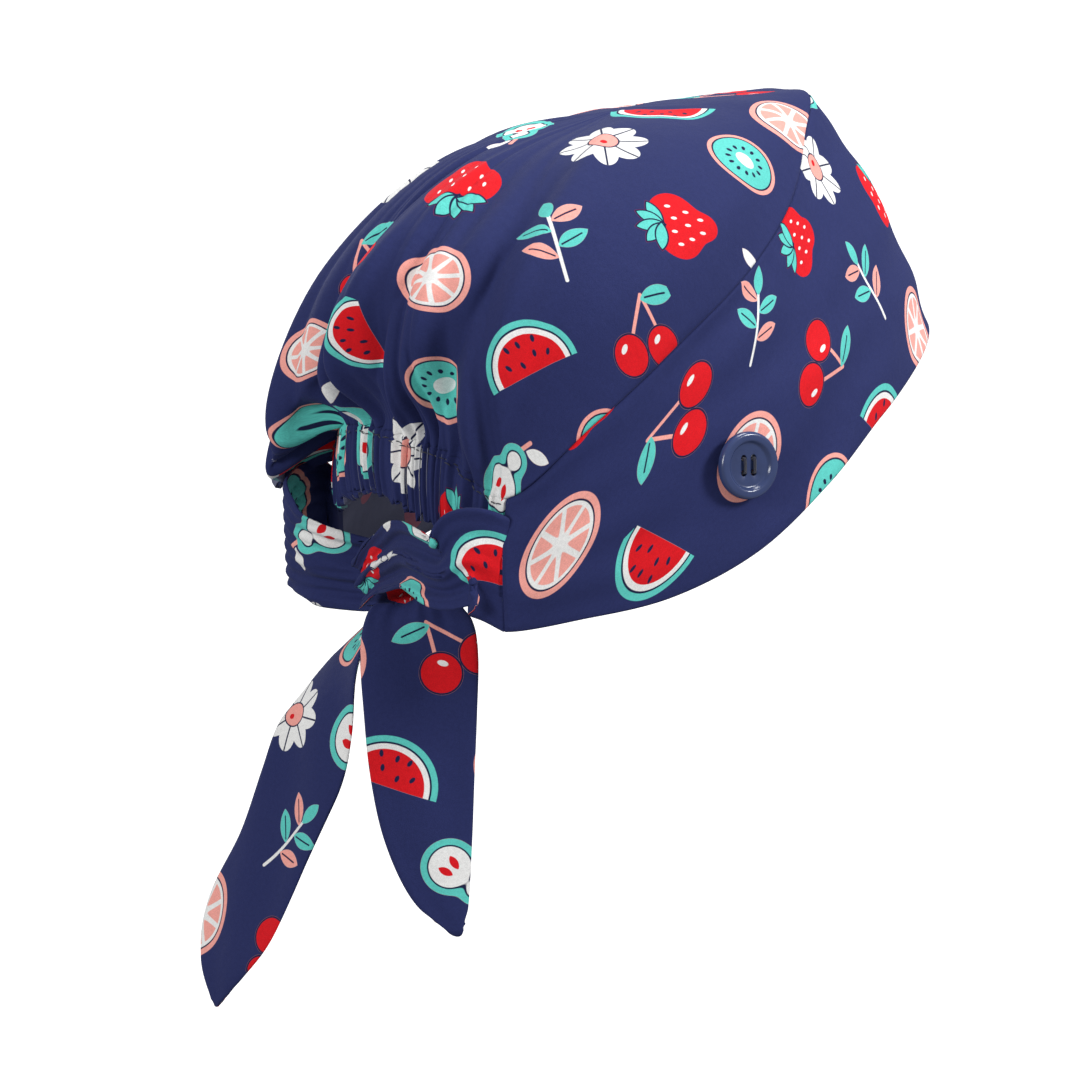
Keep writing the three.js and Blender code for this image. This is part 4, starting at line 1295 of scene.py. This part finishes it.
def stitch_tree(stitch, material):
    """Stitches along a line of points, as one mesh."""
    tree = bpy.data.node_groups.new("stitches", "GeometryNodeTree")
    tree.is_modifier = True
    tree.interface.new_socket("Line", in_out="INPUT", socket_type="NodeSocketGeometry")
    for measure in ("Pitch", "Length", "Thickness"):
        tree.interface.new_socket(measure, in_out="INPUT", socket_type="NodeSocketFloat")
    tree.interface.new_socket("Stitches", in_out="OUTPUT", socket_type="NodeSocketGeometry")
    nodes, links = tree.nodes, tree.links
    start = nodes.new("NodeGroupInput")
    curve = nodes.new("GeometryNodeMeshToCurve")
    even = nodes.new("GeometryNodeResampleCurve")
    even.mode = "LENGTH"
    tangent = nodes.new("GeometryNodeInputTangent")
    align = nodes.new("FunctionNodeAlignRotationToVector")
    align.axis = "X"
    thread = nodes.new("GeometryNodeObjectInfo")
    thread.inputs["Object"].default_value = stitch
    place = nodes.new("GeometryNodeInstanceOnPoints")
    size = nodes.new("ShaderNodeCombineXYZ")
    real = nodes.new("GeometryNodeRealizeInstances")
    finish = nodes.new("GeometryNodeSetMaterial")
    finish.inputs["Material"].default_value = material
    end = nodes.new("NodeGroupOutput")
    links.new(start.outputs[0], curve.inputs["Mesh"])
    links.new(curve.outputs[0], even.inputs["Curve"])
    links.new(start.outputs["Pitch"], even.inputs["Length"])
    links.new(start.outputs["Length"], size.inputs[0])
    links.new(start.outputs["Thickness"], size.inputs[1])
    links.new(start.outputs["Thickness"], size.inputs[2])
    links.new(size.outputs[0], place.inputs["Scale"])
    links.new(even.outputs[0], place.inputs["Points"])
    links.new(tangent.outputs[0], align.inputs["Vector"])
    links.new(align.outputs[0], place.inputs["Rotation"])
    links.new(thread.outputs["Geometry"], place.inputs["Instance"])
    links.new(place.outputs[0], real.inputs[0])
    links.new(real.outputs[0], finish.inputs["Geometry"])
    links.new(finish.outputs[0], end.inputs[0])
    return tree


def make_stitches(name, line):
    """A row of stitches along a line of points."""
    stitch = link("one stitch", capsule_mesh("one stitch"))
    mesh = bpy.data.meshes.new(name)
    mesh.from_pydata(line.tolist(), [(i, i + 1) for i in range(len(line) - 1)], [])
    obj = link(name, mesh)
    sewn = obj.modifiers.new("stitches", "NODES")
    sewn.node_group = stitch_tree(stitch, thread_blue)
    sizes = {"Pitch": STITCH_PITCH, "Length": STITCH_LENGTH, "Thickness": STITCH_THICKNESS}
    for item in sewn.node_group.interface.items_tree:
        if item.name in sizes:
            sewn[item.identifier] = sizes[item.name]
    apply_modifiers(obj)
    bpy.data.objects.remove(stitch)
    return obj


stitch_around = np.linspace(BAND_END + 1.5, 360 - BAND_END - 1.5, 400)
stitch_down = np.full(stitch_around.shape, 0.09)
stitch_side = outwards(smooth_channel, stitch_around, stitch_down)
stitch_line = channel_surface(stitch_around, stitch_down) + stitch_side * 0.25 * MM
stitches = make_stitches("channel_stitches", stitch_line)
print("stitches:", len(stitches.data.polygons), "faces")

# %% [markdown]
# The mask buttons: a turned disc with a rounded rim, a dished face and four holes, sewn on with two strands
# over the face. Turning a profile gives a true round body with few points.

# %% Turning a profile
BUTTON_DIAMETER = 20 * MM
BUTTON_THICKNESS = 3.4 * MM
BUTTON_STANDOFF = 1.2 * MM
BUTTON_AROUND = 93.0
BUTTON_DOWN = 0.63
RIM_WIDTH = 0.13
FACE_DROP = 0.06
HOLE_DIAMETER = 2 * MM
HOLE_SPACING = (3.4 * MM, 4.4 * MM)
THREAD_DIAMETER = 0.9 * MM
SHANK_TURNS = 3
SHANK_PITCH = 0.3 * MM
SHANK_RADIUS = 0.17 * MM
SHANK_STEPS, SHANK_SIDES = 28, 8


def rounded(points, radius, steps=4):
    """A profile with its inner corners rounded."""
    out = [points[0]]
    for a, b, c in zip(points, points[1:], points[2:]):
        a, b, c = (np.array(p) for p in (a, b, c))
        r = min(radius, np.linalg.norm(a - b) / 2, np.linalg.norm(c - b) / 2)
        start, end = b + (a - b) / np.linalg.norm(a - b) * r, b + (c - b) / np.linalg.norm(c - b) * r
        for k in range(steps + 1):
            t = k / steps
            out.append(tuple((1 - t) ** 2 * start + 2 * t * (1 - t) * b + t * t * end))
    return [*out, points[-1]]


def lathe(name, profile, segments):
    """A profile turned about Z."""
    bm = bmesh.new()
    rings = []
    for r, z in profile:
        if r < 1e-9:
            rings.append([bm.verts.new((0, 0, z))])
            continue
        angles = [math.tau * k / segments for k in range(segments)]
        rings.append([bm.verts.new((r * math.cos(a), r * math.sin(a), z)) for a in angles])
    for one, two in zip(rings, rings[1:]):
        for k in range(segments):
            n = (k + 1) % segments
            if len(one) == 1:
                bm.faces.new((one[0], two[n], two[k]))
            elif len(two) == 1:
                bm.faces.new((one[k], one[n], two[0]))
            else:
                bm.faces.new((one[k], one[n], two[n], two[k]))
    bmesh.ops.recalc_face_normals(bm, faces=bm.faces)
    mesh = bpy.data.meshes.new(name)
    bm.to_mesh(mesh)
    bm.free()
    return mesh


# %% [markdown]
# The body is a turned disc with four holes cut by Boolean, and a small Bevel that catches the light on every
# edge.


# %% Button body
def hole_places():
    return [(x * HOLE_SPACING[0] / 2, y * HOLE_SPACING[1] / 2) for x in (-1, 1) for y in (-1, 1)]


def button_mesh():
    """The button, lying face up with its back at height 0."""
    radius, top = BUTTON_DIAMETER / 2, BUTTON_THICKNESS
    face = top - FACE_DROP * BUTTON_DIAMETER
    rim = RIM_WIDTH * BUTTON_DIAMETER
    edge = top / 4
    outline = [(0, 0), (radius - edge, 0), (radius, edge), (radius, top - edge)]
    outline += [(radius - edge * 0.8, top), (radius - rim, top), (radius - rim - edge, face)]
    outline += [(0, face * 0.97)]
    body = link("button body", lathe("button body", rounded(outline, 0.5 * MM), 96))
    hole = HOLE_DIAMETER / 2
    for k, (x, y) in enumerate(hole_places()):
        drilled = [(0, -top), (hole, -top), (hole, 2 * top), (0, 2 * top)]
        drill = link(f"drill {k}", lathe("drill", drilled, 32))
        drill.location = (x, y, 0)
        cut = body.modifiers.new("hole", "BOOLEAN")
        cut.operation, cut.object, cut.solver = "DIFFERENCE", drill, "EXACT"
        apply_modifiers(body)
        bpy.data.objects.remove(drill)
    soft = body.modifiers.new("edges", "BEVEL")
    soft.width, soft.segments = 0.15 * MM, 2
    soft.limit_method, soft.angle_limit = "ANGLE", math.radians(50)
    apply_modifiers(body)
    mesh = body.data
    mesh.shade_smooth()
    bpy.data.objects.remove(body)
    return mesh


# %% [markdown]
# The thread goes up one hole, over the face and down the next, in pairs of strands. Behind the button it is
# wound round them into a short shank, which keeps room for a mask's loop.


# %% Button thread
def strand(points, radius, sides=10):
    """A round strand along a few points, as points and faces."""
    points = np.array(points, float)
    t = np.linspace(0, 1, 24)
    line = np.stack([through(points[:, k], t) for k in range(3)], -1)
    along = unit(np.gradient(line, axis=0))
    across = unit(np.cross(along, [1.0, 0.0, 0.0]))
    other = np.cross(along, across)
    angles = np.linspace(0, math.tau, sides, endpoint=False)
    ring = across[:, None] * np.cos(angles)[None, :, None] + other[:, None] * np.sin(angles)[None, :, None]
    return line[:, None] + ring * radius


def thread_mesh():
    """Two strands over the face, down the holes, and a wound shank behind."""
    face = BUTTON_THICKNESS - FACE_DROP * BUTTON_DIAMETER
    radius = THREAD_DIAMETER / 2
    high = face + 0.1 * MM + radius
    low = 0.25 * MM - BUTTON_STANDOFF
    bm = bmesh.new()
    reach = HOLE_SPACING[1] / 2
    for side in (-1, 1):
        for lane in (-0.5, 0.5):
            x = side * HOLE_SPACING[0] / 2 + lane * radius
            up_and_over = [(-reach, low), (-reach, high - radius), (-reach * 0.8, high)]
            down_again = [(reach * 0.8, high), (reach, high - radius), (reach, low)]
            route = [(x, y, z) for y, z in (*up_and_over, (0, high + 0.12 * MM), *down_again)]
            rings = strand(route, radius * 0.62)
            verts = [[bm.verts.new(p) for p in ring] for ring in rings]
            for one, two in zip(verts, verts[1:]):
                for k in range(len(one)):
                    n = (k + 1) % len(one)
                    bm.faces.new((one[k], one[n], two[n], two[k]))
            bm.faces.new(verts[0][::-1])
            bm.faces.new(verts[-1])
    wide = np.array(HOLE_SPACING) / 2 + radius
    high_up = np.array([0, 0, 1])
    for turn in range(SHANK_TURNS):
        z = low + (turn + 0.5) * SHANK_PITCH
        ring = []
        for k in range(SHANK_STEPS):
            a = math.tau * k / SHANK_STEPS
            centre = np.array([wide[0] * math.cos(a), wide[1] * math.sin(a), z])
            out = np.array([math.cos(a), math.sin(a), 0])
            round_it = np.arange(SHANK_SIDES) * math.tau / SHANK_SIDES
            loop = [centre + SHANK_RADIUS * (out * math.cos(b) + high_up * math.sin(b)) for b in round_it]
            ring.append([bm.verts.new(p) for p in loop])
        for k in range(SHANK_STEPS):
            one, two = ring[k], ring[(k + 1) % SHANK_STEPS]
            for m in range(SHANK_SIDES):
                n = (m + 1) % SHANK_SIDES
                bm.faces.new((one[m], two[m], two[n], one[n]))
    bmesh.ops.recalc_face_normals(bm, faces=bm.faces)
    mesh = bpy.data.meshes.new("thread")
    bm.to_mesh(mesh)
    bm.free()
    mesh.shade_smooth()
    return mesh


# %% [markdown]
# Each button faces the way the band does at its place over the ear, a shank's length off the cloth.


# %% Sewing the buttons on
def make_buttons():
    """A button and its thread on each side of the band."""
    made = {}
    for side, suffix in ((1, "right"), (-1, "left")):
        around, down = np.array([side * BUTTON_AROUND]), np.array([BUTTON_DOWN])
        normal = outwards(band_surface, around, down)[0]
        seat = band_surface(around, down)[0] + normal * BUTTON_STANDOFF
        z = Vector(normal)
        x = Vector((0, 0, 1)).cross(z).normalized()
        turn = Matrix((x, z.cross(x), z)).transposed().to_4x4()
        turn.translation = Vector(seat)
        for name, mesh, material in (
            ("button_body_", button_mesh(), button_blue),
            ("button_sewing_", thread_mesh(), thread_blue),
        ):
            mesh.transform(turn)
            mesh.materials.clear()
            mesh.materials.append(material)
            made[name + suffix] = link(name + suffix, mesh)
    return made


buttons = make_buttons()
print("buttons:", {name: len(o.data.polygons) for name, o in buttons.items()})

# %% [markdown]
# Each piece rides on the cap's one body and stands for its solid, which is hidden.

# %% Joining the frame
PIECES = [
    (crown, ["crown"], "navy_cotton"),
    (band, ["band"], "navy_cotton"),
    (channel, ["elastic_channel"], "navy_cotton"),
    (right_tie, ["right_tie"], "navy_cotton"),
    (left_tie, ["left_tie"], "navy_cotton"),
    (right_tail, ["right_tail"], "navy_cotton"),
    (stitches, [], "sewing_thread"),
    (buttons["button_body_right"], ["button_right"], "button_plastic"),
    (buttons["button_sewing_right"], ["button_thread_right"], "sewing_thread"),
    (buttons["button_body_left"], ["button_left"], "button_plastic"),
    (buttons["button_sewing_left"], ["button_thread_left"], "sewing_thread"),
]
for piece, nodes, slot in PIECES:
    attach(piece, "root")
    if nodes:
        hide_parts(*nodes)

print("pieces:", [piece.name for piece, _, _ in PIECES])

# %% [markdown]
# The camera looks from behind the wearer's right shoulder, a little above the brim, as in the photograph.
# Large soft lights and a pale curved backdrop give its even, nearly shadowless light.

# %% Camera, light and backdrop
CAMERA_AZIMUTH = 240
CAMERA_ELEVATION = 8
CAMERA_DISTANCE = 1.25
VIEW_WIDTH = 0.3375  # metres seen across at the origin's distance
ORIGIN_RIGHT = 0.0244  # where the origin lies in the picture, from its middle
ORIGIN_UP = 0.0091
BACKDROP_FLOOR = -0.8
ROOM_LIGHT = 0.34
# name, place towards the camera, to its right and up, size, power
LIGHTS = [
    ("key", 0.7, 1.5, 0.8, 0.45, 27),
    ("fill", 1.3, -1.2, 0.35, 0.6, 16),
    ("top", -0.2, 0.3, 1.7, 0.6, 17),
    ("rim", -1.2, -0.9, 0.9, 0.9, 7),
]


def make_camera():
    azimuth, elevation = math.radians(CAMERA_AZIMUTH), math.radians(CAMERA_ELEVATION)
    level = math.cos(elevation)
    back = Vector((math.sin(azimuth) * level, -math.cos(azimuth) * level, math.sin(elevation)))
    right = Vector((math.cos(azimuth), math.sin(azimuth), 0))
    up = back.cross(right)
    data = bpy.data.cameras.new("camera")
    data.sensor_width = 36
    data.lens = data.sensor_width * CAMERA_DISTANCE / VIEW_WIDTH
    data.clip_start, data.clip_end = 0.05, 20
    camera = bpy.data.objects.new("camera", data)
    bpy.context.collection.objects.link(camera)
    camera.location = back * CAMERA_DISTANCE - right * ORIGIN_RIGHT - up * ORIGIN_UP
    camera.rotation_mode = "QUATERNION"
    camera.rotation_quaternion = (-back).to_track_quat("-Z", "Y")
    bpy.context.scene.camera = camera
    return back, right


def area_light(name, place, size, power):
    """A soft square light, aimed at the cap."""
    data = bpy.data.lights.new(name, "AREA")
    data.shape, data.size, data.energy = "SQUARE", size, power
    light = bpy.data.objects.new(name, data)
    light.location = place
    light.rotation_mode = "QUATERNION"
    light.rotation_quaternion = (-Vector(place)).to_track_quat("-Z", "Y")
    light.visible_camera = False
    bpy.context.collection.objects.link(light)


def make_backdrop():
    """A white sweep well below the cap that curves up behind it on every side, and glows a little."""
    rises = ((0, 0), (1.6, 0), (2.6, 0.2), (3.1, 0.9), (3.3, 2))
    profile = [(out, BACKDROP_FLOOR + up) for out, up in rises] + [(3.3, 3.4)]
    mesh = lathe("backdrop", rounded(profile, 0.7, 10), 64)
    mesh.flip_normals()
    mesh.shade_smooth()
    material, tree, shader = new_material("backdrop paper")
    where = tree.nodes.new("ShaderNodeTexCoord").outputs["Object"]
    grain = noise(tree, where, 30, 4.0).math("MULTIPLY_ADD", 0.02, 0.9)
    tree.links.new(grain.socket, shader.inputs["Base Color"])
    shader.inputs["Roughness"].default_value = 0.9
    shader.inputs["Emission Color"].default_value = (1, 1, 1, 1)
    shader.inputs["Emission Strength"].default_value = 0.8
    mesh.materials.append(material)
    backdrop = link("backdrop", mesh)
    backdrop.visible_diffuse = backdrop.visible_glossy = backdrop.visible_shadow = False


def make_light(back, right):
    """A key from the upper right of the picture, a weak fill, light from above and a pale room."""
    for name, near, aside, above, size, power in LIGHTS:
        place = back * near + right * aside + Vector((0, 0, above))
        area_light(name, place, size, power)
    world = bpy.data.worlds.new("room")
    world.use_nodes = True
    background = world.node_tree.nodes["Background"]
    background.inputs[0].default_value = (1, 1, 1, 1)
    background.inputs[1].default_value = ROOM_LIGHT
    bpy.context.scene.world = world


towards_camera, camera_right = make_camera()
make_backdrop()
make_light(towards_camera, camera_right)
bpy.context.scene.view_settings.view_transform = "Standard"
bpy.context.scene.view_settings.look = "None"
print("lights:", [row[0] for row in LIGHTS])
